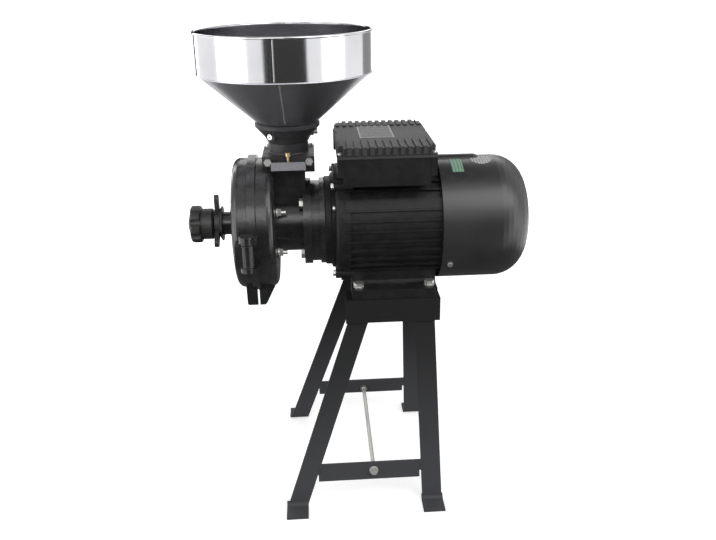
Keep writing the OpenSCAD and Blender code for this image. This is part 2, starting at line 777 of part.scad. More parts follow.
// Carrier plate with its hub, three flour sweeps and the seat of the ball.
module plate_carrier() {
    key_w = 6;
    color(cast_black) on_shaft(carrier_x) difference() {
        union() {
            translate([0, 0, -carrier_t]) cylinder(r = disc_r, h = carrier_t);
            translate([0, 0, hub_end_x - carrier_x]) cylinder(r = hub_r, h = carrier_x - hub_end_x + moving_disc_t + 2);
            for (a = [60:120:300]) rotate([0, 0, a]) translate([disc_r - 14, -2.5, -carrier_t - 8])
                cube([cavity_r - disc_r + 14 - 3, 5, 8 + carrier_t]);
        }
        translate([0, 0, shaft_end_x - carrier_x - 4.5]) cylinder(r = shaft_r + run_gap, h = 100);
        translate([-shaft_r - 3.2, -key_w / 2 - 0.1, shaft_end_x - carrier_x - 4.5])
            cube([shaft_r + 3.2, key_w + 0.2, 100]);
        translate([0, 0, hub_end_x - carrier_x - 1]) cylinder(r = ball_r + 0.1, h = 1 + 2 * ball_r - 1.5, $fn = 48);
        for (a = [0:120:240]) rotate([0, 0, a]) translate([48, 0, -carrier_t - 1])
            cylinder(r = 3 + run_gap, h = carrier_t + 2, $fn = 32);
    }
}

module thrust_ball() {
    color(zinc) on_shaft(hub_end_x - 1.5 + ball_r) sphere(r = ball_r);
}

// ------------------------------------------------------------ shaft, auger

auger_end_x = feed_back - 1;
auger_start_x = rear_wall_x + 2;

module feed_auger() {
    flight_len = auger_end_x - auger_start_x;
    color(dark_steel) on_shaft(auger_start_x) difference() {
        union() {
            cylinder(r = auger_core_r, h = flight_len);
            linear_extrude(flight_len, twist = 360 * auger_turns, slices = 30) intersection() {
                circle(r = auger_r, $fn = 32);
                translate([0, -flight_t / 2]) square([auger_r + 1, flight_t * 1.6]);
            }
        }
        translate([0, 0, -1]) cylinder(r = shaft_r, h = flight_len + 2);
    }
}

spring_from_x = carrier_x + moving_disc_t + 2;

// Helical push spring round the shaft, between carrier hub and auger.
module plate_spring() {
    wire_r = 1.1;
    coil_r = shaft_r + 2.6;
    turns = 4;
    len = auger_start_x - spring_from_x - 2 * wire_r;
    steps = 12 * turns;
    pts = [for (i = [0:steps]) let (a = i * 30, z = wire_r + len * i / steps)
        for (k = [0:5]) let (b = k * 60)
            [(coil_r + wire_r * cos(b)) * cos(a), (coil_r + wire_r * cos(b)) * sin(a),
                z + wire_r * sin(b)]];
    sides = [for (i = [0:steps - 1]) for (k = [0:5]) let (n = (k + 1) % 6)
        each [[i * 6 + k, i * 6 + n, (i + 1) * 6 + n], [i * 6 + k, (i + 1) * 6 + n, (i + 1) * 6 + k]]];
    caps = [for (k = [1:4]) each [[0, k + 1, k], [steps * 6, steps * 6 + k, steps * 6 + k + 1]]];
    color(zinc) on_shaft(spring_from_x) polyhedron(points = pts, faces = concat(sides, caps));
}

module motor_shaft() {
    color(zinc) difference() {
        union() {
            on_shaft(shaft_end_x) cylinder(r = shaft_r, h = lantern_end_x - shaft_end_x);
            on_shaft(auger_end_x) cylinder(r = seat_shaft_r, h = frame_end_x + rear_shield_len - auger_end_x);
            on_shaft(frame_x + 12) cylinder(r = seat_shaft_r + 2.5, h = rear_bearing_x - frame_x - 12.5);
            on_shaft(frame_end_x + rear_shield_len - eps) cylinder(r = shaft_r, h = 66);
        }
        at_origin() translate([shaft_end_x + 1, -3, shaft_z + shaft_r - 3]) cube([22, 6, 4]);
    }
}

module drive_key() {
    color(dark_steel) at_origin() translate([shaft_end_x + 1, -3, shaft_z + shaft_r - 3])
        cube([22, 6, 5.8]);
}

core_x = frame_x + (frame_len - core_len) / 2;

module rotor_core() {
    color(dark_steel) on_shaft(core_x) difference() {
        union() {
            cylinder(r = core_bore - air_gap, h = core_len);
            for (z = [-8, core_len]) translate([0, 0, z]) cylinder(r = core_bore - 5, h = 8);
            for (i = [0:8], z = [-14, core_len + 7]) rotate([0, 0, i * 40])
                translate([core_bore - 16, -1, z]) cube([9, 2, 7]);
        }
        translate([0, 0, -20]) cylinder(r = seat_shaft_r + 2.5, h = core_len + 40);
    }
}

module centrifugal_governor() {
    color("peru") on_shaft(rear_bearing_x - 12) difference() {
        union() {
            cylinder(r = 30, h = 3);
            for (a = [0, 180]) rotate([0, 0, a]) translate([18, -10, 3]) cube([14, 20, 6]);
            cylinder(r = 22, h = 9);
        }
        translate([0, 0, -1]) cylinder(r = seat_shaft_r + 2.5, h = 20);
    }
}

fan_x = frame_end_x + rear_shield_len + 16;

module cooling_fan() {
    color([0.2, 0.2, 0.2]) on_shaft(fan_x) difference() {
        union() {
            cylinder(r = 20, h = 34);
            translate([0, 0, 30]) cylinder(r = fan_r * 0.72, h = 3);
            for (i = [0:blade_count - 1]) rotate([0, 0, i * 360 / blade_count])
                translate([16, -1.25, 4]) rotate([0, 0, 8]) cube([fan_r - 18, 2.5, 29]);
        }
        translate([0, 0, -1]) cylinder(r = shaft_r, h = 40);
    }
}

// ------------------------------------------------------------------ motor

ear_angles = [52, -52, 128, 232];
ear_r = 86;

foot_washer_r = 2 * foot_bolt_r;

// Foot of the motor on the side of +Y, seen from the fan's end.
module foot_profile() {
    wall_y = 60;
    out_y = foot_pitch_y / 2 + 16;
    polygon(concat([[44, stand_z], [out_y, stand_z], [out_y, stand_z + pad_t]],
        arc([wall_y + 8, stand_z + pad_t + 8], 8, 270, 180, 5),
        [[wall_y, stand_z + 48], [44, stand_z + 48]]));
}

module motor_frame() {
    pitch = 360 / fin_count;
    color(black_paint) difference() {
        union() {
            on_shaft(frame_x) {
                cylinder(r = frame_r, h = frame_len);
                for (i = [0:fin_count - 1]) rotate([0, 0, (i + 0.5) * pitch])
                    translate([frame_r - 2, -fin_t / 2, 0.7])
                        cube([fin_h + 2, fin_t, frame_len - 1.4]);
                // Smooth bands at both ends.
                for (z = [0, frame_len - 8]) translate([0, 0, z]) cylinder(r = shield_r, h = 8);
                // Broad ribs along both sides, and lugs for the shield's bolts.
                for (a = [30, 150]) round_shaft(a, frame_r - 2)
                    translate([0, -6.5, 1.1]) cube([fin_h + 2.6, 13, frame_len - 2.2]);
                for (a = ear_angles) round_shaft(a, ear_r) cylinder(r = 8, h = 14, $fn = 32);
            }
            for (s = [0, 1]) at_origin() mirror([0, s, 0])
                translate([motor_mid_x - foot_len / 2, 0, 0]) rotate([90, 0, 90])
                    linear_extrude(foot_len) foot_profile();
        }
        on_shaft(frame_x - 1) cylinder(r = frame_r - frame_wall, h = frame_len + 2);
        for (sx = [-1, 1], sy = [-1, 1]) {
            pin_hole(motor_mid_x + sx * foot_pitch_x / 2, sy * foot_pitch_y / 2, stand_z, pad_t,
                foot_bolt_r + bolt_gap);
            pin_hole(motor_mid_x + sx * foot_pitch_x / 2, sy * foot_pitch_y / 2, stand_z + pad_t,
                14, foot_washer_r + 0.6);
        }
        for (a = ear_angles) on_shaft(frame_x - 1) round_shaft(a, ear_r)
            cylinder(r = 2.5 + run_gap, h = 13, $fn = 24);
    }
}

module stator_core() {
    color(dark_steel) on_shaft(core_x) ring(frame_r - frame_wall, core_bore, core_len);
}

module stator_windings() {
    mid = (frame_r - frame_wall + core_bore) / 2;
    color("chocolate") for (x = [core_x - 17, core_x + core_len]) on_shaft(x)
        rotate_extrude() translate([mid, 8.5]) intersection() {
            circle(r = 12, $fn = 32);
            square([26, 17], center = true);
        }
}

module bearing(bore_r, r) {
    step = (r - bore_r) / 3;
    ring(r, r - step + 0.5, bearing_w);
    ring(bore_r + step - 0.5, bore_r + run_gap, bearing_w);
    translate([0, 0, 1]) ring(r - step + 0.5 + eps, bore_r + step - 0.5 - eps, bearing_w - 2);
}

front_bearing_x = lantern_end_x + 7;
rear_bearing_x = frame_end_x - 3;

module front_bearing() {
    color(zinc) on_shaft(front_bearing_x) bearing(seat_shaft_r, bearing_r);
}

module rear_bearing() {
    color(zinc) on_shaft(rear_bearing_x) bearing(seat_shaft_r, rear_bearing_r);
}

module front_end_shield() {
    step_x = shield_len - shield_rim;
    spigot_r = frame_r - frame_wall;
    color(black_paint) on_shaft(lantern_end_x) difference() {
        union() {
            rotate_extrude($fn = 96) polygon(concat([[0, 0], [nose_r - 2, 0], [nose_r, 2],
                [nose_r, 9], [nose_r + 5, 11], [nose_r + 5, step_x - 6]],
                arc([shield_r - 6, step_x], 6, -90, 0, 5), [[shield_r, shield_len],
                [spigot_r, shield_len], [spigot_r, shield_len + 5], [0, shield_len + 5]]));
            for (a = ear_angles) round_shaft(a, ear_r)
                translate([0, 0, step_x - 7]) cylinder(r = 8, h = shield_rim + 8, $fn = 32);
        }
        translate([0, 0, shield_len]) ring(shield_r + 20, spigot_r, 10);
        translate([0, 0, -1]) cylinder(r = seat_shaft_r + 1, h = 20);
        translate([0, 0, 7]) cylinder(r = bearing_r, h = 60);
        // Inside of the shield, leaving the bearing's housing.
        difference() {
            translate([0, 0, 10]) rotate_extrude($fn = 96) polygon([[0, 0], [nose_r - 6, 0],
                [spigot_r - 5, 11], [spigot_r - 5, 40], [0, 40]]);
            translate([0, 0, 6]) cylinder(r = bearing_r + 6, h = bearing_w + 3);
        }
        for (a = [45:90:315]) round_shaft(a, 56) translate([0, 0, -1])
            cylinder(r = 4 + run_gap, h = 12, $fn = 32);
        for (a = ear_angles) round_shaft(a, ear_r) translate([0, 0, step_x - 9])
            cylinder(r = 2.5 + bolt_gap, h = shield_rim + 11, $fn = 24);
        round_shaft(30, nose_r + 9) translate([0, 0, step_x - 7])
            cylinder(r = 2 + run_gap, h = 7, $fn = 24);
    }
}

module rear_end_shield() {
    color(black_paint) on_shaft(frame_end_x) difference() {
        union() {
            cylinder(r = frame_r, h = rear_shield_len);
            translate([0, 0, -5]) cylinder(r = frame_r - frame_wall, h = 6);
            // Three pads that carry the fan cover.
            for (a = [-32, 110, 212]) rotate([0, 0, -90 - a]) intersection() {
                cylinder(r = cover_r - cover_t, h = 12);
                translate([0, -9, 0]) cube([cover_r, 18, 12]);
            }
        }
        translate([0, 0, -6]) cylinder(r = rear_bearing_r, h = bearing_w + 3);
        translate([0, 0, -1]) cylinder(r = seat_shaft_r + 1, h = 40);
        translate([0, 0, -6]) difference() {
            cylinder(r = frame_r - frame_wall - 5, h = 12);
            translate([0, 0, -1]) cylinder(r = rear_bearing_r + 6, h = 16);
        }
        for (a = [-32, 110, 212]) rotate([0, 0, -90 - a]) translate([cover_r - 24, 0, 6])
            rotate([0, 90, 0]) cylinder(r = 2 + run_gap, h = 30, $fn = 24);
    }
}

module shield_bolts() {
    color(zinc) for (a = ear_angles) on_shaft(frame_x - shield_rim - 7) round_shaft(a, ear_r)
        mirror([0, 0, 1]) hex_bolt(2.5, shield_rim + 18, 8, 4);
}

module earth_screw() {
    color(zinc) on_shaft(frame_x - shield_rim - 6) round_shaft(30, nose_r + 9)
        mirror([0, 0, 1]) pan_screw(2, 4.5, 4, 3);
}

module lantern_bolts() {
    color(zinc) for (a = [45:90:315]) on_shaft(feed_back) round_shaft(a, 56)
        mirror([0, 0, 1]) {
            hex_bolt(4, lantern_len + 9, 13, 5.5);
        }
}

// Shell of the fan cover as a profile, open end at z = 0.
module cover_shell(inset) {
    r = cover_r - inset;
    c = cover_round - inset;
    rotate_extrude($fn = 96) polygon(concat([[0, -eps * sign(inset)], [r, -eps * sign(inset)]],
        arc([r - c, fan_cover_len - cover_dome - cover_round], c, 0, 84, 9),
        [for (i = [0:3]) let (q = (r - c) * (1 - i / 3))
            [q, fan_cover_len - inset - cover_dome * pow(q / (cover_r - cover_round), 2)]]));
}

module fan_cover() {
    color(black_paint) difference() {
        union() {
            on_shaft(frame_end_x - cover_lap) cover_shell(0);
            // Pressed channel for the wires, along the top towards the box.
            at_origin() translate([frame_end_x - cover_lap, 0, shaft_z + cover_r - 7.5]) {
                rotate([0, 90, 0]) cylinder(r = 12, h = 56, $fn = 48);
                translate([56, 0, 0]) sphere(r = 12, $fn = 48);
            }
        }
        on_shaft(frame_end_x - cover_lap - 1) cover_shell(cover_t);
        on_shaft(frame_end_x - cover_lap) cylinder(r = cover_r - cover_t, h = 60);
        at_origin() translate([frame_end_x - cover_lap - 1, 0, shaft_z + cover_r - 7.5])
            rotate([0, 90, 0]) cylinder(r = 10, h = 57, $fn = 48);
        // Air holes in the end face, in rings.
        for (k = [1:4]) for (i = [0:6 * k - 1]) on_shaft(fan_end_x - 30)
            rotate([0, 0, i * 60 / k]) translate([k * 11, 0, 0]) cylinder(r = 3.2, h = 40, $fn = 16);
        for (a = [-32, 110, 212]) on_shaft(frame_end_x + 6) rotate([0, 0, -90 - a])
            translate([cover_r - 24, 0, 0]) rotate([0, 90, 0]) cylinder(r = 2 + bolt_gap, h = 40, $fn = 24);
    }
}

module fan_cover_screws() {
    color(zinc) for (a = [-32, 110, 212]) on_shaft(frame_end_x + 6) rotate([0, 0, -90 - a])
        translate([cover_r, 0, 0]) rotate([0, 90, 0]) pan_screw(2, 12, 4.2, 2.4);
}

// ---------------------------------------------------------- capacitor box

box_x = frame_x + frame_len / 2 - 14;
lid_z = shaft_z + box_high;

module box_block(out, z0, h) {
    at_origin() translate([box_x - box_len / 2 - out, -box_w / 2 - out, z0])
        cube([box_len + 2 * out, box_w + 2 * out, h]);
}

// A place at each corner ear of the box.
module box_corners() {
    for (sx = [-1, 1], sy = [-1, 1])
        at_origin() translate([box_x + sx * (box_len / 2 + lid_out / 2 + 0.4),
            sy * (box_w / 2 - 5), lid_z]) children();
}

module capacitor_box() {
    color(black_paint) difference() {
        union() {
            box_block(0, shaft_z + box_low, box_high - box_low);
            box_corners() translate([-lid_out / 2 - 1, -6, -26]) cube([lid_out + 2, 12, 26]);
        }
        box_block(-box_wall, shaft_z + box_low + box_wall, box_high);
        // Saddle on the fins, with a raised floor over it.
        on_shaft(frame_x - 20) cylinder(r = frame_r + fin_h + 0.2, h = frame_len + 20);
        box_corners() translate([0, 0, -20]) cylinder(r = 2 + run_gap, h = 30, $fn = 24);
        // Wire entry, gland and switch.
        at_origin() translate([box_x + 34, box_w / 2 - 10, lid_z - 22]) rotate([-90, 0, 0])
            cylinder(r = 9 + bolt_gap, h = 20);
        at_origin() translate([box_x - 34 - 13, box_w / 2 - 10, lid_z - 32]) cube([26, 20, 20]);
    }
    color(black_paint) intersection() {
        box_block(0, shaft_z + box_low, box_high - box_low);
        on_shaft(box_x - box_len / 2)
            ring(frame_r + fin_h + 0.2 + box_wall, frame_r + fin_h + 0.2, box_len);
    }
}

module lid_block(out, z0, h) {
    box_block_len = box_len + 2 * lid_out;
    at_origin() translate([box_x - box_block_len / 2 - out, -box_w / 2 - out, z0])
        cube([box_block_len + 2 * out, box_w + 2 * out, h]);
}

module capacitor_box_lid() {
    lid_len = box_len + 2 * lid_out;
    pitch = lid_len / rib_count;
    flat_z = lid_z + lid_h - rib_h;
    color([0.22, 0.22, 0.23]) difference() {
        union() {
            lid_block(0, lid_z, lid_h - rib_h);
            box_corners() translate([-lid_out / 2 - 1, -6, 0]) cube([lid_out + 2, 12, 7]);
            // Front and rear rows of ribs, which run down over the long sides.
            for (i = [0:rib_count - 1], s = [-1, 1]) {
                len = s < 0 ? rib_front : rib_rear;
                at_origin() translate([box_x - lid_len / 2 + (i + 0.5) * pitch - rib_w / 2,
                    s < 0 ? -box_w / 2 - 2.5 : box_w / 2 + 2.5 - len, lid_z + 5.2])
                    cube([rib_w, len, lid_h - 5.2]);
            }
            // Foot of the lid.
            lid_block(1.5, lid_z, 4);
        }
        box_block(-box_wall, lid_z - 1, lid_h - rib_h - box_wall + 1);
        // Corners cut square for the screws.
        for (sx = [-1, 1], sy = [-1, 1])
            at_origin() translate([box_x + sx * (box_len / 2 + 20), sy * (box_w / 2 + 9), lid_z + 26])
                cube(40, center = true);
        // Hollow in the middle of each end.
        for (s = [-1, 1])
            at_origin() translate([box_x + s * (box_len / 2 + lid_out + 2), 18, flat_z - 5])
                cylinder(r = 5, h = 20, $fn = 32);
        box_corners() translate([0, 0, -1]) cylinder(r = 2 + bolt_gap, h = 30, $fn = 24);
    }
}

module box_lid_screws() {
    color(zinc) box_corners() translate([0, 0, 6]) pan_screw(2, 20, 3.6, 2.2);
}

module start_capacitor() {
    color([0.12, 0.12, 0.12]) at_origin() translate([box_x - 50, -box_w / 2 + box_wall + start_cap_r + run_gap,
        shaft_z + box_low + box_wall + start_cap_r + run_gap])
        rotate([0, 90, 0]) {
            cylinder(r = start_cap_r, h = 84);
            for (s = [-6, 6]) translate([-1, s - 1.5, 84]) cube([2, 3, 8]);
        }
}

module run_capacitor() {
    // It rests on the box's raised floor, behind the terminals.
    cap_y = terminal_w / 2 + run_cap_r + 11;
    floor_r = frame_r + fin_h + 0.2 + box_wall + run_cap_r + run_gap;
    color([0.85, 0.85, 0.82]) at_origin()
        translate([box_x - 50, cap_y, shaft_z + sqrt(floor_r * floor_r - cap_y * cap_y)])
        rotate([0, 90, 0]) {
            cylinder(r = run_cap_r, h = 72);
            for (s = [-6, 6]) translate([-1, s - 1.5, 72]) cube([2, 3, 8]);
        }
}

terminal_w = 20;

module terminal_block() {
    base = shaft_z + frame_r + fin_h + 0.2 + box_wall;
    color([0.75, 0.7, 0.6]) at_origin() translate([box_x - 28, -10, base]) difference() {
        cube([56, 20, 12]);
        for (i = [0:4]) translate([7 + i * 10.5, 10, 6]) cylinder(r = 2.5, h = 8, $fn = 24);
    }
}

module cable_gland() {
    color([0.1, 0.1, 0.1]) at_origin() translate([box_x + 34, box_w / 2 - 8, lid_z - 22])
        rotate([-90, 0, 0]) difference() {
            union() {
                cylinder(r = 9, h = 10);
                translate([0, 0, 8]) cylinder(r = hex_r(24), h = 6, $fn = 6);
                translate([0, 0, 14]) cylinder(r = 10, h = 8);
            }
            translate([0, 0, -1]) cylinder(r = 4, h = 30);
        }
}

module power_switch_body() {
    color([0.1, 0.1, 0.1]) at_origin() translate([box_x - 34, box_w / 2, lid_z - 22]) difference() {
        union() {
            translate([-13, -10, -10]) cube([26, 10, 20]);
            translate([-15.5, 0, -12]) cube([31, 2.5, 24]);
        }
        translate([-10.8, -7, -7.5]) cube([21.6, 12, 15]);
        translate([0, 0, -30]) rotate([0, 0, 0]) cylinder(r = 1.5, h = 60, $fn = 24);
    }
}

// Rocker on a vertical pin across the housing, one end pressed in.
module power_rocker() {
    color([0.7, 0.1, 0.08]) at_origin() translate([box_x - 34, box_w / 2, lid_z - 22])
        rotate([0, 0, 10]) {
            difference() {
                intersection() {
                    translate([-10, -4, -7.2]) cube([20, 12, 14.4]);
                    translate([0, 14, -8]) difference() {
                        translate([-15, -20, 0]) cube([30, 20, 16]);
                        cylinder(r = 11.5, h = 40, center = true, $fn = 64);
                    }
                    translate([0, -6, -8]) cylinder(r = 14, h = 16, $fn = 64);
                }
            }
            translate([0, 0, -9]) cylinder(r = 1.45, h = 18, $fn = 24);
        }
}

// ----------------------------------------------------------------- hopper

cone_low_r = passage_r + 2.5;
cone_slope = cone_h / (hopper_r - lip_r + 3);
band_z = lip_z + cone_h;
cone_low_z = band_z - (hopper_r - cone_low_r) * cone_slope;

// Cone with its spigot and the seam bead at its top.
module hopper() {
    color([0.75, 0.75, 0.76]) at_origin() rotate_extrude($fn = 128) {
        polygon([[cone_low_r - sheet_t, cone_low_z - 9], [cone_low_r, cone_low_z - 9],
            [cone_low_r, cone_low_z], [hopper_r, band_z], [hopper_r, band_z + 1],
            [hopper_r - sheet_t, band_z + 1], [hopper_r - sheet_t, band_z + 0.4],
            [cone_low_r - sheet_t, cone_low_z + 0.4]]);
        translate([hopper_r, band_z - 0.4]) circle(r = bead_r * 0.6, $fn = 24);
    }
}

// Upright band with the rolled rim.
module hopper_band() {
    color([0.75, 0.75, 0.76]) at_origin() rotate_extrude($fn = 128) {
        translate([hopper_r - sheet_t, band_z + 1]) square([sheet_t, band_h - 1]);
        translate([hopper_r, band_z + band_h]) circle(r = bead_r, $fn = 24);
    }
}

hopper_screw_angles = [0, 125, 235];
hopper_screw_z = lip_z - 16;
hopper_screw_out = lip_r - 9.5;
gate_screw_y = -flange_w / 2 - 3.7;
front_bolt_z = gate_z + 8;

module hopper_seat() {
    flare_z = lip_z - lip_h;
    flare_low_z = flare_z - 15;
    seat_gap = 0.15;
    // Underside of the cone, along which the cup is bored.
    cup_r = cone_low_r + seat_gap;
    top_r = cup_r + (lip_z + 1 - cone_low_z) / cone_slope;
    color(cast_black) difference() {
        union() {
            at_origin() translate([-flange_w / 2, -flange_w / 2, gate_z])
                cube([flange_w, flange_w, seat_flange_t]);
            at_origin() rotate_extrude($fn = 96) polygon([[0, seat_z - 1], [neck_r + 1.5, seat_z - 1],
                [neck_r, seat_z + 2], [neck_r, cone_low_z - 10], [neck_r + 4, flare_low_z],
                [lip_r - 1, flare_z], [lip_r, flare_z + 1], [lip_r, lip_z - 1],
                [lip_r - 1, lip_z], [0, lip_z]]);
            for (a = hopper_screw_angles) on_hopper(hopper_screw_z) rotate([0, 90, a])
                cylinder(r = 6, h = hopper_screw_out, $fn = 32);
            // Lug of the gate's screw.
            at_origin() translate([-5, gate_screw_y - 3.7, gate_z + 1.5]) cube([10, 9, 7]);
        }
        on_hopper(gate_z - 1) cylinder(r = passage_r, h = 60);
        on_hopper(cone_low_z - 9) cylinder(r = cup_r, h = 20);
        on_hopper(0) rotate_extrude($fn = 96) polygon([[0, cone_low_z], [cup_r, cone_low_z],
            [top_r, lip_z + 1], [0, lip_z + 1]]);
        for (sx = [-1, 1]) {
            at_origin() translate([sx * flange_bolt, flange_bolt, gate_z - 1])
                cylinder(r = 3 + bolt_gap, h = seat_flange_t + 2, $fn = 32);
            at_origin() translate([sx * flange_bolt, -flange_w / 2 - 1, front_bolt_z])
                rotate([-90, 0, 0]) cylinder(r = 3 + run_gap, h = 16, $fn = 32);
        }
        for (a = hopper_screw_angles) on_hopper(hopper_screw_z) rotate([0, 90, a]) {
            cylinder(r = 2 + run_gap, h = 60, $fn = 24);
            // Spot face for the head.
            translate([0, 0, hopper_screw_out]) cylinder(r = 4.6, h = 30, $fn = 32);
        }
        at_origin() translate([0, gate_screw_y, gate_z]) cylinder(r = 2 + run_gap, h = 20, $fn = 32);
    }
}

// Two upright bolts behind the gate, and two level ones in the flange's front.
module seat_bolts() {
    color(zinc) for (sx = [-1, 1]) {
        at_origin() translate([sx * flange_bolt, flange_bolt, seat_z])
            hex_bolt(3, seat_flange_t + (sx < 0 ? 5 : throat_flange_t + 7), 10, 4.5);
        at_origin() translate([sx * flange_bolt, -flange_w / 2, front_bolt_z])
            rotate([90, 0, 0]) hex_bolt(3, 14, 10, 4.5);
    }
    color(zinc) at_origin() translate([flange_bolt, flange_bolt, gate_z - throat_flange_t - 5])
        hex_nut(3, 10, 5);
}

module hopper_screws() {
    color(zinc) for (a = hopper_screw_angles) on_hopper(hopper_screw_z) rotate([0, 90, a])
        translate([0, 0, hopper_screw_out]) pan_screw(2, 9, 4, 6);
}

module slide_gate() {
    front_y = gate_screw_y - 6.8;
    color([0.8, 0.8, 0.8]) at_origin() {
        translate([-gate_w / 2, front_y, gate_z - gate_t - slide_gap / 2])
            cube([gate_w, passage_r + 4 - front_y, gate_t]);
        // Tab bent up in front of the flange, its upper corners rounded.
        translate([0, front_y + gate_t, gate_z - gate_t - slide_gap / 2]) rotate([90, 0, 0])
            linear_extrude(gate_t) union() {
                translate([-tab_w / 2, 0]) square([tab_w, tab_h - 4]);
                translate([-tab_w / 2 + 4, 0]) square([tab_w - 8, tab_h]);
                for (s = [-1, 1]) translate([s * (tab_w / 2 - 4), tab_h - 4]) circle(r = 4, $fn = 32);
            }
    }
}

module gate_screw() {
    color("goldenrod") at_origin() translate([0, gate_screw_y, gate_z]) {
        cylinder(r = 2, h = seat_flange_t + 3, $fn = 32);
        translate([0, 0, seat_flange_t + 1.5]) cylinder(r = 4, h = 5, $fn = 32);
    }
}

// ------------------------------------------------------------------ stand

leg_top_z = stand_z - channel_h;
lean = (stand_foot - stand_top + steel_t) / leg_top_z;
tilt = atan(lean);
channel_x = motor_mid_x - 3 - channel_len / 2;
left_top = channel_x + 3;
left_foot = left_top - splay_left;
right_top = channel_x + channel_len - 7.5 - leg_w;
right_foot = right_top + splay_right;

// Outer face of the legs: its distance from the middle at a height.
function leg_out(z) = stand_foot - lean * z;

// Both legs, their feet and the stretcher between them, seen from the front.
module stand_outline(stretcher_z) {
    low = stretcher_z - stretcher_w / 2;
    at = stretcher_z / leg_top_z;
    left_in = left_foot + splay_left * at + leg_w;
    right_in = right_foot - splay_right * at;
    for (leg = [[left_top, left_foot], [right_top, right_foot]]) {
        polygon([[leg[1], 0], [leg[1] + leg_w, 0], [leg[0] + leg_w, leg_top_z],
            [leg[0] + leg_w, leg_top_z + 24], [leg[0], leg_top_z + 24], [leg[0], leg_top_z]]);
        translate([leg[1] - 1.5, 0]) square([leg_w + 3, 9]);
    }
    translate([left_in, low]) square([right_in - left_in - 2.5, stretcher_w]);
    // Weld at the right end, which stops short of the lower corner.
    translate([right_in - 4, low + stretcher_w * 0.4]) square([5, stretcher_w * 0.6]);
}

// Edge of the bent steel: foot, bend, leaning leg and upright end.
module leg_edge() {
    bend = 6;
    c = [leg_out(steel_t) + bend / tan(45 + tilt / 2), steel_t + bend];
    polygon(concat([[stand_foot + tab_len, 0], [stand_foot + tab_len, steel_t]],
        arc(c, bend, 270, 180 + tilt), [[leg_out(leg_top_z), leg_top_z],
        [leg_out(leg_top_z), leg_top_z + 24], [leg_out(leg_top_z) - steel_t, leg_top_z + 24],
        [leg_out(leg_top_z) - steel_t, leg_top_z]], arc(c, bend + steel_t, 180 + tilt, 270)));
}

// One side of the stand, leaning out towards -Y.
module side_frame(stretcher_z) {
    difference() {
        union() {
            intersection() {
                translate([0, -stand_top + 45, 0]) rotate([90, 0, 0])
                    linear_extrude(stand_foot) stand_outline(stretcher_z);
                mirror([0, 1, 0]) translate([left_foot - 20, 0, 0]) rotate([90, 0, 90])
                    linear_extrude(400) leg_edge();
            }
            // Channel: top plate and outer face.
            translate([channel_x, -stand_top, stand_z - steel_t])
                cube([channel_len, channel_w, steel_t]);
            translate([channel_x, -stand_top, leg_top_z])
                cube([channel_len, steel_t + eps, channel_h]);
        }
        for (s = [-1, 1])
            translate([motor_mid_x + s * foot_pitch_x / 2, -foot_pitch_y / 2, stand_z - 10])
                cylinder(r = foot_bolt_r + bolt_gap, h = 20, $fn = 32);
    }
}

rod_x = motor_mid_x - 37;
rod_low = stretcher_front + 1;
rod_high = stretcher_rear - 3.5;
rod_tilt = atan((rod_high - rod_low) / (leg_out(rod_low) + leg_out(rod_high)));

// Children stand on the tie rod's axis, +Z away from the hinge side.
module on_rod() {
    at_origin() translate([rod_x, -leg_out(rod_low), rod_low]) rotate([rod_tilt - 90, 0, 0])
        children();
}

// Children stand square on a stretcher's outer face, where the rod passes it.
module on_stretcher(s) {
    z = s < 0 ? rod_low : rod_high;
    at_origin() translate([rod_x, s * leg_out(z), z]) rotate([-s * (90 - tilt), 0, 0]) children();
}

module rod_room(gap) {
    on_rod() translate([0, 0, -40]) cylinder(r = rod_r + gap, h = 400, $fn = 32);
}

module front_stand_frame() {
    color(black_paint) difference() {
        at_origin() side_frame(stretcher_front);
        rod_room(bolt_gap);
    }
}

module rear_stand_frame() {
    color(black_paint) difference() {
        at_origin() mirror([0, 1, 0]) side_frame(stretcher_rear);
        rod_room(bolt_gap);
    }
}

module tie_rod() {
    reach = (leg_out(rod_low) + leg_out(rod_high)) / cos(rod_tilt);
    color(zinc) {
        on_rod() cylinder(r = rod_r, h = reach + 10, $fn = 32);
        on_stretcher(-1) cylinder(r = 7, h = 1.4, $fn = 40);
        on_stretcher(-1) translate([0, 0, 1.4]) cylinder(r = hex_r(11), h = 4, $fn = 6);
    }
}

module tie_rod_nuts() {
    color(zinc) difference() {
        union() {
            on_stretcher(1) cylinder(r = hex_r(11), h = 5.5, $fn = 6);
            for (s = [-1, 1]) on_stretcher(s) translate([0, 0, -steel_t - 5])
                cylinder(r = hex_r(11), h = 5, $fn = 6);
        }
        rod_room(run_gap);
    }
}

module foot_bolts() {
    color(zinc) for (sx = [-1, 1], sy = [-1, 1])
        at_origin() translate([motor_mid_x + sx * foot_pitch_x / 2, sy * foot_pitch_y / 2, stand_z + pad_t]) {
            ring(foot_washer_r, foot_bolt_r + 0.3, 1.6);
            translate([0, 0, 1.6]) hex_bolt(foot_bolt_r, pad_t + steel_t + 12, 13, 5.3);
        }
}

module foot_nuts() {
    color(zinc) for (sx = [-1, 1], sy = [-1, 1])
        at_origin() translate([motor_mid_x + sx * foot_pitch_x / 2, sy * foot_pitch_y / 2,
            stand_z - steel_t - 6.5]) hex_nut(foot_bolt_r, 13, 6.5);
}

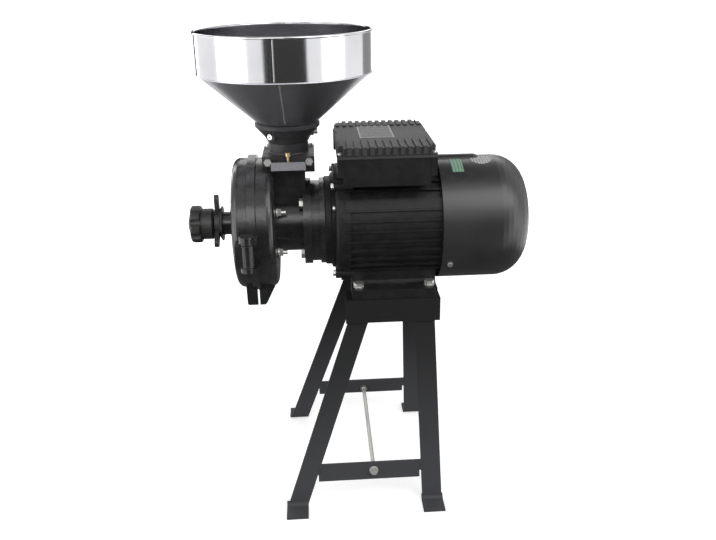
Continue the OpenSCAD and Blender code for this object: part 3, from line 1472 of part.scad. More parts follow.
front_stand_frame();
rear_stand_frame();
tie_rod();
tie_rod_nuts();
foot_bolts();
foot_nuts();
motor_frame();
stator_core();
stator_windings();
front_end_shield();
rear_end_shield();
front_bearing();
rear_bearing();
shield_bolts();
earth_screw();
fan_cover();
fan_cover_screws();
capacitor_box();
capacitor_box_lid();
box_lid_screws();
start_capacitor();
run_capacitor();
terminal_block();
cable_gland();
power_switch_body();
power_rocker();
mill_body();
feed_housing();
lantern_bolts();
stationary_disc();
disc_bolts();
disc_nuts();
hopper_seat();
seat_bolts();
hopper();
hopper_band();
hopper_screws();
slide_gate();
gate_screw();
pivot_pins();
front_cover();
swing_bolt();
clamp_washer();
clamp_nut();
thrust_pad();
adjusting_screw();
adjusting_knob();
lock_washer();
lock_nut();
motor_shaft();
rotor_core();
cooling_fan();
centrifugal_governor();
feed_auger();
drive_key();
plate_spring();
plate_carrier();
rotating_disc();
disc_screws();
thrust_ball();
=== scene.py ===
"""Looks for the electric grain mill: finishes, small pieces, studio and camera.

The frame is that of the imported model: +X along the shaft towards the fan cover,
+Y towards the cover's clamp, +Z up from the floor. Lengths are in metres. Places
on the mill are given in millimetres from the hopper's axis, and at() turns them
into places in the frame.
"""
import json
import math

import bmesh
import bpy
from mathutils import Matrix, Vector


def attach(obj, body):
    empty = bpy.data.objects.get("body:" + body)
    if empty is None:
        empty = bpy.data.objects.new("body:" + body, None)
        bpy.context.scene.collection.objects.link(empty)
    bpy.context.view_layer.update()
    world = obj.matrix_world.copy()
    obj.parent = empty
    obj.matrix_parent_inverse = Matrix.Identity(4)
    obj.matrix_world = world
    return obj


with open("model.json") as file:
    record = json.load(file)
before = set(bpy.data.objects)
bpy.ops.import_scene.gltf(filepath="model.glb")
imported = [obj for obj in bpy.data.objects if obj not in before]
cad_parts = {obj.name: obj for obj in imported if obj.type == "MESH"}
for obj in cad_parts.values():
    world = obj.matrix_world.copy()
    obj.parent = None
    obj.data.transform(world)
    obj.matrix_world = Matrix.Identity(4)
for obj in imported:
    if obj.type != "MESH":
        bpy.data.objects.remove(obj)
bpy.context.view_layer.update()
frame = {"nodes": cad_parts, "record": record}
NODES = frame["nodes"]
scene = bpy.context.scene

MM = 0.001
TURN = 2 * math.pi
AXIS_X = -103.5 * MM           # the hopper's axis in the frame
SHAFT_Z = 435                  # the shaft's height, in mm
SHARP = math.radians(32)       # edges that turn by more than this stay sharp


def at(x, y, z):
    """A place given in millimetres from the hopper's axis and the floor."""
    return Vector((x * MM + AXIS_X, y * MM, z * MM))


# ------------------------------------------------------------ shader sums


class Value:
    """What a node of a finish gives. Sums with it add Math nodes."""

    def __init__(self, finish, socket):
        self.finish = finish
        self.socket = socket

    def math(self, operation, *terms):
        return self.finish.math(operation, self, *terms)

    def __add__(self, other):
        return self.math("ADD", other)

    def __sub__(self, other):
        return self.math("SUBTRACT", other)

    def __mul__(self, other):
        return self.math("MULTIPLY", other)

    __radd__ = __add__
    __rmul__ = __mul__

    def abs(self):
        return self.math("ABSOLUTE")

    def sin(self):
        return self.math("SINE")

    def wave(self):
        """The sine, moved so that it runs from 0 to 1."""
        return self.sin() * 0.5 + 0.5

    def above(self, edge):
        return self.math("GREATER_THAN", edge)

    def below(self, edge):
        return self.math("LESS_THAN", edge)

    def least(self, other):
        return self.math("MINIMUM", other)

    def most(self, other):
        return self.math("MAXIMUM", other)

    def fade(self, low, high):
        """0 below low, 1 above high, smooth between."""
        return self.finish.node(
            "ShaderNodeMapRange",
            {"interpolation_type": "SMOOTHSTEP"},
            {0: self, 1: low, 2: high},
        )


class Finish:
    """One procedural material, built from its surface shader back."""

    def __init__(self, name, **fixed):
        """Fixed values are named as the shader's sockets, with _ for a space."""
        self.material = bpy.data.materials.new(name)
        self.material.use_nodes = True
        self.tree = self.material.node_tree
        self.shader = self.tree.nodes["Principled BSDF"]
        for socket, value in fixed.items():
            self.feed(self.shader.inputs[socket.replace("_", " ")], value)

    def feed(self, socket, value):
        """Puts a number, a colour or what another node gives into a socket."""
        if isinstance(value, Value):
            self.tree.links.new(value.socket, socket)
        elif socket.type == "RGBA":
            socket.default_value = (*value, 1.0)
        else:
            socket.default_value = value

    def node(self, kind, settings=None, inputs=None, output=0):
        """Adds a node: its settings first, then what goes into its sockets."""
        made = self.tree.nodes.new(kind)
        for key, value in (settings or {}).items():
            setattr(made, key, value)
        for key, value in (inputs or {}).items():
            self.feed(made.inputs[key], value)
        return Value(self, made.outputs[output])

    def math(self, operation, *terms):
        return self.node("ShaderNodeMath", {"operation": operation}, dict(enumerate(terms)))

    def place(self):
        """Position on the piece, in metres, which moves with its body."""
        return self.node("ShaderNodeTexCoord", output="Object")

    def split(self, vector):
        """The x, y and z of a vector."""
        made = self.tree.nodes.new("ShaderNodeSeparateXYZ")
        self.feed(made.inputs[0], vector)
        return [Value(self, output) for output in made.outputs]

    def axes(self):
        """The x, y and z of the position."""
        return self.split(self.place())

    def stretched(self, x, y, z):
        """Position with each axis scaled, for grain that runs one way."""
        return self.node(
            "ShaderNodeVectorMath",
            {"operation": "MULTIPLY"},
            {0: self.place(), 1: (x, y, z)},
        )

    def noise(self, scale, detail=2.0, rough=0.5, vector=None):
        """Soft lumps from 0 to 1, scale of them to a metre."""
        return self.node(
            "ShaderNodeTexNoise",
            inputs={
                "Vector": vector or self.place(),
                "Scale": scale,
                "Detail": detail,
                "Roughness": rough,
            },
        )

    def cells(self, scale):
        """The distance to the nearest of scattered points, scale to a metre."""
        return self.node(
            "ShaderNodeTexVoronoi", inputs={"Vector": self.place(), "Scale": scale}
        )

    def facing_up(self):
        """1 where the surface faces up, 0 where it faces sideways or down."""
        normal = self.split(self.node("ShaderNodeNewGeometry", output="Normal"))
        return normal[2].fade(0.35, 0.95)

    def blend(self, share, first, second):
        """A colour between two, by share. The Mix node's colours are 6 and 7."""
        return self.node(
            "ShaderNodeMix", {"data_type": "RGBA"}, {0: share, 6: first, 7: second}, 2
        )

    def relief(self, height, depth, before=None):
        """A normal from a height between 0 and 1, depth in metres."""
        inputs = {"Height": height, "Distance": depth, "Strength": 1.0}
        if before is not None:
            inputs["Normal"] = before
        return self.node("ShaderNodeBump", inputs=inputs)

    def done(self, colour, roughness=None, normal=None):
        """Joins what changes over the surface to the shader."""
        links = {"Base Color": colour, "Roughness": roughness, "Normal": normal}
        for socket, value in links.items():
            if value is not None:
                self.feed(self.shader.inputs[socket], value)
        return self.material


# --------------------------------------------------------------- finishes


def shade(tone, share):
    """The colour made darker or lighter, up to full."""
    return tuple(min(1.0, c * share) for c in tone)


def cast_paint(name, dark, pale, gloss, shine=0.3, grain=0.22 * MM):
    """Black enamel over sand-cast iron: soft pits, a little dust on top."""
    f = Finish(name, Specular_IOR_Level=shine)
    pits = f.noise(420, 3, 0.6)
    swell = f.noise(60, 2, 0.5)
    fine = f.noise(1600, 2, 0.5)
    dusty = f.facing_up() * f.noise(45, 4, 0.6).fade(0.4, 0.8) * 0.12
    tint = f.blend(swell.fade(0.3, 0.7), dark, pale)
    normal = f.relief(pits * 0.7 + fine * 0.3, grain)
    normal = f.relief(swell, grain * 4, normal)
    return f.done(
        f.blend(dusty, tint, (0.1, 0.098, 0.095)),
        gloss + 0.1 * f.noise(90, 3).fade(0.3, 0.8) + dusty * 0.5,
        normal,
    )


def sheet_paint(name, dark, pale, gloss):
    """Stoved black paint on drawn sheet: orange peel and light dust."""
    f = Finish(name, Specular_IOR_Level=0.45, Coat_Weight=0.15, Coat_Roughness=0.2)
    peel = f.noise(700, 1, 0.4)
    cloud = f.noise(14, 3, 0.55)
    dusty = f.facing_up() * f.noise(60, 5, 0.65).fade(0.45, 0.85) * 0.1
    specks = f.cells(900).below(0.05) * f.noise(40).fade(0.5, 0.7) * 0.3
    tint = f.blend(cloud.fade(0.3, 0.7), dark, pale)
    return f.done(
        f.blend((dusty + specks).least(1.0), tint, (0.12, 0.118, 0.115)),
        gloss + 0.1 * cloud + dusty,
        f.relief(peel, 0.04 * MM),
    )


def powder_coat(name, high, low):
    """Charcoal powder coat with light scuffs, darkened towards the top as painted shade under
    the motor, paler towards the floor.
    """
    f = Finish(name, Specular_IOR_Level=0.25)
    grain = f.noise(1300, 2, 0.6)
    cloud = f.noise(9, 4, 0.6)
    scuffs = f.noise(30, 6, 0.75, f.stretched(1.0, 1.0, 0.35)).fade(0.62, 0.7)
    z = f.axes()[2]
    # painted shade: the colour goes from low near the floor to the darker high at the top,
    # standing in for the shade under the motor
    tint = f.blend((z + 0.03 * cloud).fade(0.0, 0.34), low, high)
    return f.done(
        f.blend(scuffs * 0.15, tint, (0.1, 0.1, 0.103)),
        0.5 + 0.16 * grain + 0.1 * scuffs,
        f.relief(grain, 0.06 * MM),
    )


def ribbed_box_metal(name):
    """Unpainted grey die-cast aluminium under a thin dark wash."""
    f = Finish(name, Metallic=0.2, Specular_IOR_Level=0.3)
    grain = f.noise(900, 3, 0.65)
    cloud = f.noise(22, 4, 0.6)
    tint = f.blend(cloud.fade(0.25, 0.75), (0.03, 0.029, 0.03), (0.045, 0.044, 0.045))
    worn = f.facing_up() * f.noise(120, 4, 0.7).fade(0.5, 0.72)
    return f.done(
        f.blend(worn * 0.3, tint, (0.1, 0.098, 0.097)),
        0.5 + 0.2 * grain,
        f.relief(grain, 0.1 * MM),
    )


def polished_steel(name, tone, rough=0.1):
    """Polished stainless sheet, with faint rolling lines and smudges."""
    f = Finish(name, Metallic=1.0)
    lines = f.noise(900, 2, 0.6, f.stretched(1.0, 1.0, 0.02))
    smudge = f.noise(18, 4, 0.6)
    dents = f.noise(7, 1, 0.4)
    normal = f.relief(lines, 0.012 * MM)
    normal = f.relief(dents, 0.6 * MM, normal)
    return f.done(
        f.blend(smudge.fade(0.3, 0.8), tone, shade(tone, 0.9)),
        rough * (lines * 0.7 + smudge * 0.5 + 0.6),
        normal,
    )


def plated_steel(name, tone, rough, tint):
    """Bright plate or bare sheet, with small dull clouds of another tint."""
    f = Finish(name, Metallic=1.0)
    cloud = f.noise(350, 3, 0.6)
    fine = f.noise(2600, 2, 0.6)
    return f.done(
        f.blend(cloud.fade(0.45, 0.8), tone, tint),
        rough + 0.25 * cloud,
        f.relief(fine, 0.03 * MM),
    )


def turned_steel(name, tone):
    """Machined steel with tool marks round the shaft's axis."""
    f = Finish(name, Metallic=1.0)
    x = f.axes()[0]
    marks = (x * 9000.0).wave()
    cloud = f.noise(80, 3, 0.6)
    return f.done(
        f.blend(cloud.fade(0.35, 0.8), tone, shade(tone, 0.72)),
        0.24 + 0.2 * cloud,
        f.relief(marks * 0.5 + cloud, 0.02 * MM),
    )


def threaded_steel(name, tone, start, run, pitch):
    """Steel with a rolled thread round a level axis, as a fine relief, its valleys darkened in
    colour as painted shade.

    The axis goes through start, and run is its direction in x and y.
    """
    f = Finish(name, Metallic=1.0)
    x, y, z = f.axes()
    along = (x - start.x) * run[0] + (y - start.y) * run[1]
    beside = (y - start.y) * run[0] - (x - start.x) * run[1]
    turn = f.math("ARCTAN2", beside, z - start.z)
    groove = (along * (TURN / pitch) + turn).wave()
    cloud = f.noise(300, 3, 0.6)
    # painted shade: the colour goes dark in the thread's valleys, following the groove relief
    return f.done(
        f.blend(groove, shade(tone, 0.35), tone),
        0.3 + 0.2 * cloud,
        f.relief(groove, pitch * 0.4),
    )


def raw_cast_iron(name):
    """Bare grinding iron, dull grey with meal in its pits."""
    f = Finish(name, Metallic=0.75)
    pits = f.noise(700, 4, 0.7)
    meal = f.noise(240, 4, 0.7).fade(0.52, 0.7)
    tint = f.blend(f.noise(60, 3).fade(0.3, 0.7), (0.3, 0.3, 0.3), (0.46, 0.45, 0.44))
    return f.done(
        f.blend(meal * 0.35, tint, (0.5, 0.42, 0.3)),
        0.45 + 0.3 * pits,
        f.relief(pits, 0.2 * MM),
    )


def laminated_steel(name):
    """Stacked motor sheets, 0.7 mm each, with a little rust."""
    f = Finish(name, Metallic=0.8)
    x = f.axes()[0]
    sheets = (x * (TURN / (0.7 * MM))).wave()
    rust = f.noise(150, 4, 0.65).fade(0.55, 0.8)
    return f.done(
        f.blend(rust * 0.3, (0.27, 0.27, 0.28), (0.25, 0.14, 0.08)),
        0.4 + 0.2 * sheets,
        f.relief(sheets, 0.2 * MM),
    )


def wound_copper(name):
    """Varnished copper turns, seen as fine uneven strands round the core, dark between the
    turns and bright on their crowns as painted shade and highlight.
    """
    f = Finish(name, Metallic=0.9, Coat_Weight=0.5)
    x = f.axes()[0]
    strands = (x * (TURN / (1.1 * MM)) + f.noise(60, 2) * 9.0).wave()
    # painted shade and highlight: the tint is dark in the valleys between turns and bright on
    # their crowns, following the relief
    tint = f.blend(strands, (0.28, 0.1, 0.04), (0.62, 0.27, 0.12))
    return f.done(tint, 0.3 + 0.15 * strands, f.relief(strands, 0.5 * MM))


def moulded_plastic(name, tone, rough=0.45):
    """Plain plastic with a fine mould grain."""
    f = Finish(name)
    fine = f.noise(1500, 2, 0.5)
    cloud = f.noise(35, 3, 0.5)
    return f.done(
        f.blend(cloud.fade(0.3, 0.8), tone, shade(tone, 1.25)),
        rough + 0.12 * fine,
        f.relief(fine, 0.06 * MM),
    )


def worn_knob_paint(name):
    """Black paint on a cast knob, rubbed brown-grey where hands hold it."""
    f = Finish(name)
    pits = f.noise(500, 3, 0.6)
    rub = f.noise(70, 5, 0.7).fade(0.5, 0.66)
    tint = f.blend(rub * 0.5, (0.014, 0.0138, 0.014), (0.06, 0.052, 0.045))
    return f.done(tint, 0.34 + 0.22 * pits, f.relief(pits, 0.2 * MM))


# The finish of each material slot.
finishes = {
    # the stand's high colour is painted shade for its top under the motor; low is the paler
    # paint near the floor
    "stand_paint": powder_coat(
        "stand_powder_coat", high=(0.008, 0.008, 0.0086), low=(0.052, 0.053, 0.057)
    ),
    "motor_paint": cast_paint(
        "motor_enamel",
        (0.008, 0.008, 0.0085),
        (0.012, 0.012, 0.0125),
        gloss=0.42,
        shine=0.2,
    ),
    "cover_paint": sheet_paint(
        "fan_cover_stove_enamel", (0.014, 0.014, 0.015), (0.02, 0.02, 0.021), gloss=0.3
    ),
    "mill_paint": cast_paint(
        "mill_enamel",
        (0.013, 0.013, 0.0135),
        (0.02, 0.0197, 0.0198),
        gloss=0.18,
        shine=0.5,
        grain=0.1 * MM,
    ),
    "box_metal": ribbed_box_metal("box_lid_casting"),
    "hopper_steel": polished_steel("hopper_polished_steel", (0.62, 0.62, 0.64)),
    "zinc_steel": plated_steel("zinc_plate", (0.74, 0.74, 0.72), 0.32, (0.36, 0.34, 0.29)),
    "machined_steel": turned_steel("machined_steel", (0.5, 0.5, 0.51)),
    "lamination_steel": laminated_steel("core_sheets"),
    "disc_iron": raw_cast_iron("grinding_iron"),
    "adjuster_iron": worn_knob_paint("adjuster_enamel"),
    "screw_brass": plated_steel("screw_brass", (0.55, 0.44, 0.24), 0.3, (0.25, 0.19, 0.1)),
    "copper": wound_copper("winding_copper"),
    "black_plastic": moulded_plastic("black_plastic", (0.012, 0.012, 0.0125)),
    "pale_plastic": moulded_plastic("pale_plastic", (0.55, 0.53, 0.47)),
    "red_plastic": moulded_plastic("red_plastic", (0.5, 0.02, 0.015), 0.25),
}
slot_of = {row["node"]: row["material_slot"] for row in frame["record"]["subparts"]}

# Nodes whose finish differs from the rest of their slot.
own_finishes = {
    "adjusting_screw": threaded_steel(
        "adjusting_thread",
        (0.34, 0.335, 0.33),
        start=at(0, 0, SHAFT_Z),
        run=(1, 0),
        pitch=2.5 * MM,
    ),
    "swing_bolt": threaded_steel(
        "swing_bolt_thread",
        (0.45, 0.45, 0.44),
        start=at(-44, 113, SHAFT_Z),
        run=(0.866, 0.5),
        pitch=1.5 * MM,
    ),
    "slide_gate": plated_steel("gate_sheet", (0.3, 0.3, 0.32), 0.5, (0.24, 0.24, 0.25)),
    "tie_rod": plated_steel("rod_zinc", (0.6, 0.59, 0.57), 0.5, (0.34, 0.33, 0.31)),
    "hopper": polished_steel("hopper_cone_steel", (0.5, 0.5, 0.53), rough=0.3),
    "hopper_seat": cast_paint("seat_enamel", (0.02, 0.02, 0.022), (0.03, 0.03, 0.032), 0.45),
}


def dress(obj, finish):
    """Gives an object one finish and no other."""
    obj.data.materials.clear()
    obj.data.materials.append(finish)


def soften(mesh):
    """Smooth shading, with the real edges left sharp."""
    mesh.shade_smooth()
    mesh.set_sharp_from_angle(angle=SHARP)


for node, obj in NODES.items():
    dress(obj, own_finishes.get(node) or finishes[slot_of[node]])
    soften(obj.data)

# ----------------------------------------------------------------- pieces


def piece(name, mesh_builder, body, slot, finish=None):
    """A new object from a bmesh, on a body, with its own finish or the slot's."""
    mesh = bpy.data.meshes.new(name)
    bm = bmesh.new()
    mesh_builder(bm)
    bmesh.ops.recalc_face_normals(bm, faces=bm.faces)
    bm.to_mesh(mesh)
    bm.free()
    soften(mesh)
    obj = bpy.data.objects.new(name, mesh)
    scene.collection.objects.link(obj)
    dress(obj, finish or finishes[slot])
    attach(obj, body)


def bridge(bm, near, far, closed=True):
    """Faces between two rows of points, which are rings when closed."""
    count = len(near)
    for k in range(count if closed else count - 1):
        n = (k + 1) % count
        bm.faces.new((near[k], near[n], far[n], far[k]))


def ribbon(name, rows, slot, finish=None):
    """A closed skin over rows of rings, its ends capped, on the mill's body."""

    def build(bm):
        rings = [[bm.verts.new(point) for point in row] for row in rows]
        for near, far in zip(rings, rings[1:]):
            bridge(bm, near, far)
        bm.faces.new(rings[0])
        bm.faces.new(rings[-1][::-1])

    piece(name, build, "mill", slot, finish)


def oval(middle, aside, lift, wide, tall):
    """Eight points round an oval: wide and tall are its half axes."""
    turns = [TURN * k / 8 for k in range(8)]
    return [middle + aside * wide * math.cos(t) + lift * tall * math.sin(t) for t in turns]


# ------------------------------------------------------ label and stickers

SUNK = 0.1 * MM                # how far a sheet's underside lies below its surface


def laid_point(bm, surface, u, v, lift):
    """A point off surface(u, v), which gives a place and its outward direction."""
    spot, out = surface(u, v)
    return bm.verts.new(spot + out * lift)


def grid_edge(rows):
    """The points round the edge of a grid, in order."""
    right = [row[-1] for row in rows[1:-1]]
    left = [row[0] for row in rows[1:-1]]
    return rows[0] + right + rows[-1][::-1] + left[::-1]


def laid_plate(name, surface, steps, thick, finish):
    """A thin four-sided sheet: u and v of its surface run from 0 to 1, in steps."""
    nu, nv = steps

    def build(bm):
        edges = []
        for lift in (thick, -SUNK):
            rows = [
                [laid_point(bm, surface, i / nu, j / nv, lift) for j in range(nv + 1)]
                for i in range(nu + 1)
            ]
            for near, far in zip(rows, rows[1:]):
                bridge(bm, near, far, closed=False)
            edges.append(grid_edge(rows))
        bridge(bm, *edges)

    piece(name, build, "mill", "pale_plastic", finish)


def round_plate(name, surface, radius, thick, finish):
    """A thin round sheet: u and v of its surface are metres from its middle."""
    rings, sides = 5, 40

    def build(bm):
        edges = []
        for lift in (thick, -SUNK):
            middle = laid_point(bm, surface, 0, 0, lift)
            circles = []
            for i in range(1, rings + 1):
                reach = radius * i / rings
                turns = [TURN * k / sides for k in range(sides)]
                circles.append(
                    [
                        laid_point(bm, surface, reach * math.cos(t), reach * math.sin(t), lift)
                        for t in turns
                    ]
                )
            for k in range(sides):
                bm.faces.new((middle, circles[0][k], circles[0][(k + 1) % sides]))
            for near, far in zip(circles, circles[1:]):
                bridge(bm, near, far)
            edges.append(circles[-1])
        bridge(bm, *edges)

    piece(name, build, "mill", "pale_plastic", finish)


def printed_paper(name, ground, ink, speed, start):
    """Paper sticker with bare bars where a print would be, and no lettering.

    The bars follow each other along x from start, by speed in radians a metre.
    """
    f = Finish(name)
    x = f.axes()[0]
    bars = ((x - start) * speed).sin().fade(0.1, 0.5)
    rub = f.noise(400, 4, 0.7).fade(0.35, 0.6)
    fibre = f.relief(f.noise(900), 0.04 * MM)
    return f.done(f.blend(bars * rub, ground, ink), 0.55 + 0.2 * rub, fibre)


# The lid's label, in mm: its left and front edges, its size along x and y, and
# the face that it lies on.
LABEL_LEFT, LABEL_FRONT = 105, -26
LABEL_WIDE, LABEL_LONG = 51, 85
LID_TOP = 567.02


def label_face(name):
    """Dark plate with a pale border and bare, broken bars."""
    f = Finish(name, Specular_IOR_Level=0.4)
    x, y = f.axes()[:2]
    middle = at(LABEL_LEFT + LABEL_WIDE / 2, LABEL_FRONT + LABEL_LONG / 2, 0)
    past_side = (x - middle.x).abs() - (LABEL_WIDE / 2 - 1.8) * MM
    past_end = (y - middle.y).abs() - (LABEL_LONG / 2 - 2.0) * MM
    border = past_side.most(past_end).above(0.0)
    cloud = f.noise(120, 3, 0.6)
    field = f.blend(cloud.fade(0.3, 0.7), (0.03, 0.029, 0.03), (0.045, 0.043, 0.044))
    bars = (y * (TURN / (11.5 * MM))).sin().above(0.45)
    broken = f.noise(500, 3, 0.6, f.stretched(1.0, 0.25, 1.0)).fade(0.45, 0.6)
    field = f.blend(bars * broken * 0.6, field, (0.2, 0.2, 0.2))
    return f.done(f.blend(border, field, (0.3, 0.3, 0.3)), 0.4 + 0.2 * cloud)


def lid_label(u, v):
    """A place on the lid's flat top, under the label."""
    spot = at(LABEL_LEFT + LABEL_WIDE * u, LABEL_FRONT + LABEL_LONG * v, LID_TOP)
    return spot, Vector((0, 0, 1))


# The stickers on the fan cover: places and sizes along x in mm, and round the
# cover in degrees from its front upwards.
FAN_COVER_RADIUS = 94
SQUARE_LEFT, SQUARE_WIDE = 240, 17
SQUARE_LOW, SQUARE_LONG = 61, 22
ROUND_X, ROUND_ANGLE = 287.3, 81.5


def on_fan_cover(x, angle):
    """A place on the fan cover: x in mm, angle in radians from its front upwards."""
    out = Vector((0, -math.cos(angle), math.sin(angle)))
    return at(x, 0, SHAFT_Z) + out * FAN_COVER_RADIUS * MM, out


def square_sticker(u, v):
    """A place under the square sticker: u along x and v round the cover."""
    angle = math.radians(SQUARE_LOW + SQUARE_LONG * v)
    return on_fan_cover(SQUARE_LEFT + SQUARE_WIDE * u, angle)


def round_sticker(u, v):
    """A place under the round sticker: u along x and v round the cover."""
    angle = math.radians(ROUND_ANGLE) + v / (FAN_COVER_RADIUS * MM)
    return on_fan_cover(ROUND_X + u / MM, angle)


laid_plate(
    "lid_label", lid_label, steps=(2, 2), thick=0.6 * MM, finish=label_face("label_plate")
)
laid_plate(
    "square_sticker",
    square_sticker,
    steps=(2, 12),
    thick=0.2 * MM,
    finish=printed_paper(
        "green_sticker_paper", (0.2, 0.34, 0.25), (0.06, 0.12, 0.08), speed=1300, start=0.15
    ),
)
round_plate(
    "round_sticker",
    round_sticker,
    radius=16.2 * MM,
    thick=0.2 * MM,
    finish=printed_paper(
        "pale_sticker_paper", (0.42, 0.42, 0.42), (0.1, 0.1, 0.105), speed=1500, start=0.18
    ),
)

# --------------------------------------------------------- seams and welds


def hopper_seam(name, angle, low, high, half_wide, steel):
    """Welded seam up the hopper: a low round-topped strip between two (r, z).

    The angle is in degrees from the front, and r and z are in mm. The strip
    stands out by a fifth of half its width.
    """
    turn = math.radians(angle)
    out = Vector((math.sin(turn), -math.cos(turn), 0))
    side = Vector((math.cos(turn), math.sin(turn), 0))
    steps = 24
    rows = []
    for i in range(steps + 1):
        r = low[0] + (high[0] - low[0]) * i / steps
        z = low[1] + (high[1] - low[1]) * i / steps
        swell = half_wide * (1 + 0.08 * math.sin(i * 2.1))
        rows.append(oval(at(0, 0, z) + out * r * MM, side, out, swell, 0.2 * swell))
    ribbon(name, rows, "hopper_steel", steel)


hopper_seam(
    "band_seam",
    angle=-4.6,
    low=(125.45, 664),
    high=(125.45, 717),
    half_wide=1.0 * MM,
    steel=polished_steel("band_seam_steel", (0.45, 0.45, 0.46), rough=0.3),
)
hopper_seam(
    "cone_seam",
    angle=-1.8,
    low=(49.5, 594),
    high=(124.6, 660.6),
    half_wide=1.1 * MM,
    steel=polished_steel("cone_seam_steel", (0.75, 0.75, 0.77), rough=0.4),
)


def weld_bead(name, start, end, radius):
    """A weld: overlapping round lumps from start to end, thinner at both ends."""
    run = end - start
    steep = abs(run.normalized().z) > 0.9
    aside = run.cross(Vector((0, 1, 0)) if steep else Vector((0, 0, 1))).normalized()
    lift = aside.cross(run).normalized()
    lumps = run.length / (2.6 * MM)
    steps = max(8, int(run.length / (0.6 * MM)))
    rows = []
    for i in range(steps + 1):
        t = i / steps
        taper = min(1.0, 6 * t + 0.35, 6 * (1 - t) + 0.35)
        r = radius * taper * (1 + 0.16 * math.sin(TURN * t * lumps))
        rows.append(oval(start + run * t, aside, lift, r, r))
    ribbon(name, rows, "stand_paint")


# The stand's side frames, in mm. Of each frame: its side in y, and the middle
# height of its stretcher. Of each leg: where its inner edge meets the floor, how
# far that edge runs along x up to the channel, and its left edge up there.
FRAMES = {"front": (-1, 55), "rear": (1, 70)}
LEGS = {"left": (7.5, 103, 79.5), "right": (191, -10, 181)}
LEG_TOP = 298                  # underside of the channels
LEG_WIDE = 31
FOOT_Y = 130                   # outer face of a frame at the floor
LEG_LEAN = 45.5                # how far that face leans in, up to the channel
CHANNEL_WELD_Y = 85.6          # the line of the beads under a channel
CHANNEL_WELD_Z = LEG_TOP - 0.6


def leg_face(x, z, side):
    """A place on the leaning outer face of a stand frame; side is -1 or 1."""
    return at(x, side * (FOOT_Y - LEG_LEAN * z / LEG_TOP), z)


for frame_name, (side, middle) in FRAMES.items():
    low, high = middle - 2.5, middle + 14
    for leg_name, (foot_x, run, left) in LEGS.items():
        weld_bead(
            frame_name + "_" + leg_name + "_stretcher_weld",
            leg_face(foot_x + run * low / LEG_TOP, low, side),
            leg_face(foot_x + run * high / LEG_TOP, high, side),
            1.5 * MM,
        )
    for leg_name, (foot_x, run, left) in LEGS.items():
        weld_bead(
            frame_name + "_" + leg_name + "_channel_weld",
            at(left + 1, side * CHANNEL_WELD_Y, CHANNEL_WELD_Z),
            at(left + LEG_WIDE - 1, side * CHANNEL_WELD_Y, CHANNEL_WELD_Z),
            1.8 * MM,
        )

# ------------------------------------------------------------ hinge rings

HINGE = (-61.5, -112)          # x and y of the cover's hinge pin, in mm


def knuckle_ring(name, height, body, wide=11.1, tall=2.3, inside=9.8):
    """A raised ring round the cover's hinge pin: radii and heights in mm."""
    edge = 0.5
    profile = (
        (inside, 0),
        (wide - edge, 0),
        (wide, edge),
        (wide, tall - edge),
        (wide - edge, tall),
        (inside, tall),
    )
    sides = 56

    def build(bm):
        rings = []
        for k in range(sides):
            turn = TURN * k / sides
            out = Vector((math.cos(turn), math.sin(turn), 0)) * MM
            rings.append([bm.verts.new(at(*HINGE, height + up) + out * r) for r, up in profile])
        for near, far in zip(rings, rings[1:] + rings[:1]):
            bridge(bm, near, far)

    piece(name, build, body, "mill_paint")


knuckle_ring("hinge_ring_lowest", 403.4, "mill")
knuckle_ring("hinge_ring_low", 406.3, "cover")
knuckle_ring("hinge_ring_high", 437.4, "cover")
knuckle_ring("hinge_ring_top", 440.3, "mill")
knuckle_ring("hinge_cup", 447.7, "mill", wide=10.5, tall=3.6, inside=7.0)

# ----------------------------------------------------------------- studio

scene.view_settings.view_transform = "Standard"


def seen_directly(tree):
    """1 for what the camera sees itself, in a mirror or through glass."""
    path = tree.nodes.new("ShaderNodeLightPath")
    total = path.outputs["Is Camera Ray"]
    for ray in ("Is Glossy Ray", "Is Transmission Ray"):
        either = tree.nodes.new("ShaderNodeMath")
        either.operation = "MAXIMUM"
        tree.links.new(total, either.inputs[0])
        tree.links.new(path.outputs[ray], either.inputs[1])
        total = either.outputs[0]
    return total


def world_light():
    """White to the camera and in reflections, softer on the object."""
    world = bpy.data.worlds.new("studio")
    scene.world = world
    world.use_nodes = True
    tree = world.node_tree
    back = tree.nodes["Background"]
    level = tree.nodes.new("ShaderNodeMapRange")
    tree.links.new(seen_directly(tree), level.inputs[0])
    level.inputs["To Min"].default_value = 0.3
    level.inputs["To Max"].default_value = 1.0
    back.inputs["Color"].default_value = (1.0, 1.0, 1.0, 1.0)
    tree.links.new(level.outputs[0], back.inputs["Strength"])


def floor_plane():
    """Pale paper that runs out to white, and keeps the object's shadow."""
    bpy.ops.mesh.primitive_plane_add(size=40, location=(0, 0, -0.3 * MM))
    floor = bpy.context.object
    floor.name = "floor"
    f = Finish("floor_paper", Roughness=0.9, Specular_IOR_Level=0.05)
    x, y = f.axes()[:2]
    far = (x * x + y * y).math("SQRT").fade(0.45, 1.5)
    glow = f.blend(far, (0.45, 0.45, 0.45), (1.0, 1.0, 1.0))
    f.feed(f.shader.inputs["Emission Color"], glow)
    f.tree.links.new(seen_directly(f.tree), f.shader.inputs["Emission Strength"])
    dress(floor, f.done((0.84, 0.84, 0.84)))


def studio_card(name, corners, glow):
    """A matt card, seen only in reflections, where glow is how bright it is."""
    mesh = bpy.data.meshes.new(name)
    mesh.from_pydata([Vector(c) for c in corners], [], [(0, 1, 2, 3)])
    card = bpy.data.objects.new(name, mesh)
    scene.collection.objects.link(card)
    f = Finish(
        name + "_felt",
        Roughness=1.0,
        Specular_IOR_Level=0.0,
        Emission_Color=(glow, glow, glow),
        Emission_Strength=1.0,
    )
    dress(card, f.done((0.004, 0.004, 0.004)))
    card.visible_camera = False
    card.visible_diffuse = False
    card.visible_shadow = False
    card.visible_transmission = False


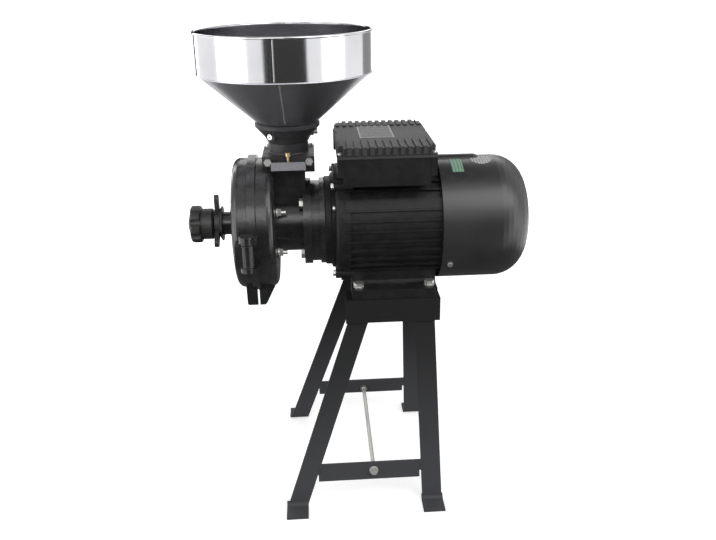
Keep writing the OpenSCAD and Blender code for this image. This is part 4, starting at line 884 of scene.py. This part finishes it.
def flat_card(name, corners, height, glow):
    """A level card: its four corners in x and y, and its height."""
    studio_card(name, [(x, y, height) for x, y in corners], glow)


def box_corners(left, right, front, back):
    """The corners of a box in x and y, in order."""
    return ((left, front), (right, front), (right, back), (left, back))


def upright_card(name, start, end, top, glow):
    """A card that stands on the floor between two places in x and y."""
    studio_card(name, ((*start, 0), (*end, 0), (*end, top), (*start, top)), glow)


def softbox(name, place, aim, width, height, power):
    """A rectangular lamp that the camera doesn't see, its power in watts."""
    light = bpy.data.lights.new(name, "AREA")
    light.shape = "RECTANGLE"
    light.size = width
    light.size_y = height
    light.energy = power
    lamp = bpy.data.objects.new(name, light)
    lamp.location = place
    lamp.rotation_euler = (Vector(aim) - Vector(place)).to_track_quat("-Z", "Y").to_euler()
    lamp.visible_camera = False
    scene.collection.objects.link(lamp)


def photo_camera():
    """The photograph's camera: its place, direction, lens and shift."""
    place = (-0.0658, -1.15109, 0.81117)
    yaw, pitch, roll = 0.0648, 0.369, -0.013
    forward = Vector(
        (
            math.sin(yaw) * math.cos(pitch),
            math.cos(yaw) * math.cos(pitch),
            -math.sin(pitch),
        )
    )
    level_right = Vector((math.cos(yaw), -math.sin(yaw), 0))
    level_up = level_right.cross(forward)
    right = math.cos(roll) * level_right + math.sin(roll) * level_up
    up = math.cos(roll) * level_up - math.sin(roll) * level_right
    data = bpy.data.cameras.new("camera")
    data.lens = 39.216
    data.sensor_width = 36.0
    data.shift_x = -0.01006
    data.shift_y = -0.0132
    data.clip_start = 0.01
    camera = bpy.data.objects.new("camera", data)
    turned = Matrix((right, up, -forward)).transposed().to_4x4()
    camera.matrix_world = Matrix.Translation(place) @ turned
    scene.collection.objects.link(camera)
    scene.camera = camera


MIDDLE = (0, 0, 0.45)          # where most lamps point

world_light()
floor_plane()
softbox("key_softbox", (1.09, -1.27, 2.0), (0.1, 0, 0.45), width=1.6, height=1.4, power=24)
softbox("front_softbox", (-0.5, -1.9, 1.6), MIDDLE, width=1.1, height=0.8, power=8)
softbox("left_softbox", (-1.8, -0.7, 0.85), MIDDLE, width=1.5, height=1.7, power=20)
softbox("right_softbox", (1.9, -0.9, 0.85), MIDDLE, width=1.3, height=1.7, power=12)
softbox("rim_softbox", (-1.03, 1.22, 1.0), MIDDLE, width=0.25, height=1.4, power=4)
softbox("back_softbox", (0.3, 1.9, 1.6), (0, 0, 0.4), width=1.8, height=1.0, power=8)
upright_card("front_card", (-0.86, -1.72), (0.85, -1.72), 0.75, glow=0.05)
upright_card("left_back_card", (-1.12, 1.66), (-0.35, 1.97), 1.3, glow=0.05)
upright_card("right_back_card", (0.75, 1.85), (1.7, 1.06), 1.3, glow=0.36)
flat_card("floor_card", box_corners(-0.8, 0.8, -0.45, 1.1), 0.6 * MM, glow=0.12)
flat_card("overhead_card", box_corners(-0.9, 0.9, -0.35, 2.6), 2.35, glow=0.16)
flat_card(
    "fore_card",
    ((-0.35, -0.45), (0.35, -0.45), (0.84, -1.71), (-0.84, -1.71)),
    0.8 * MM,
    glow=0.05,
)
photo_camera()
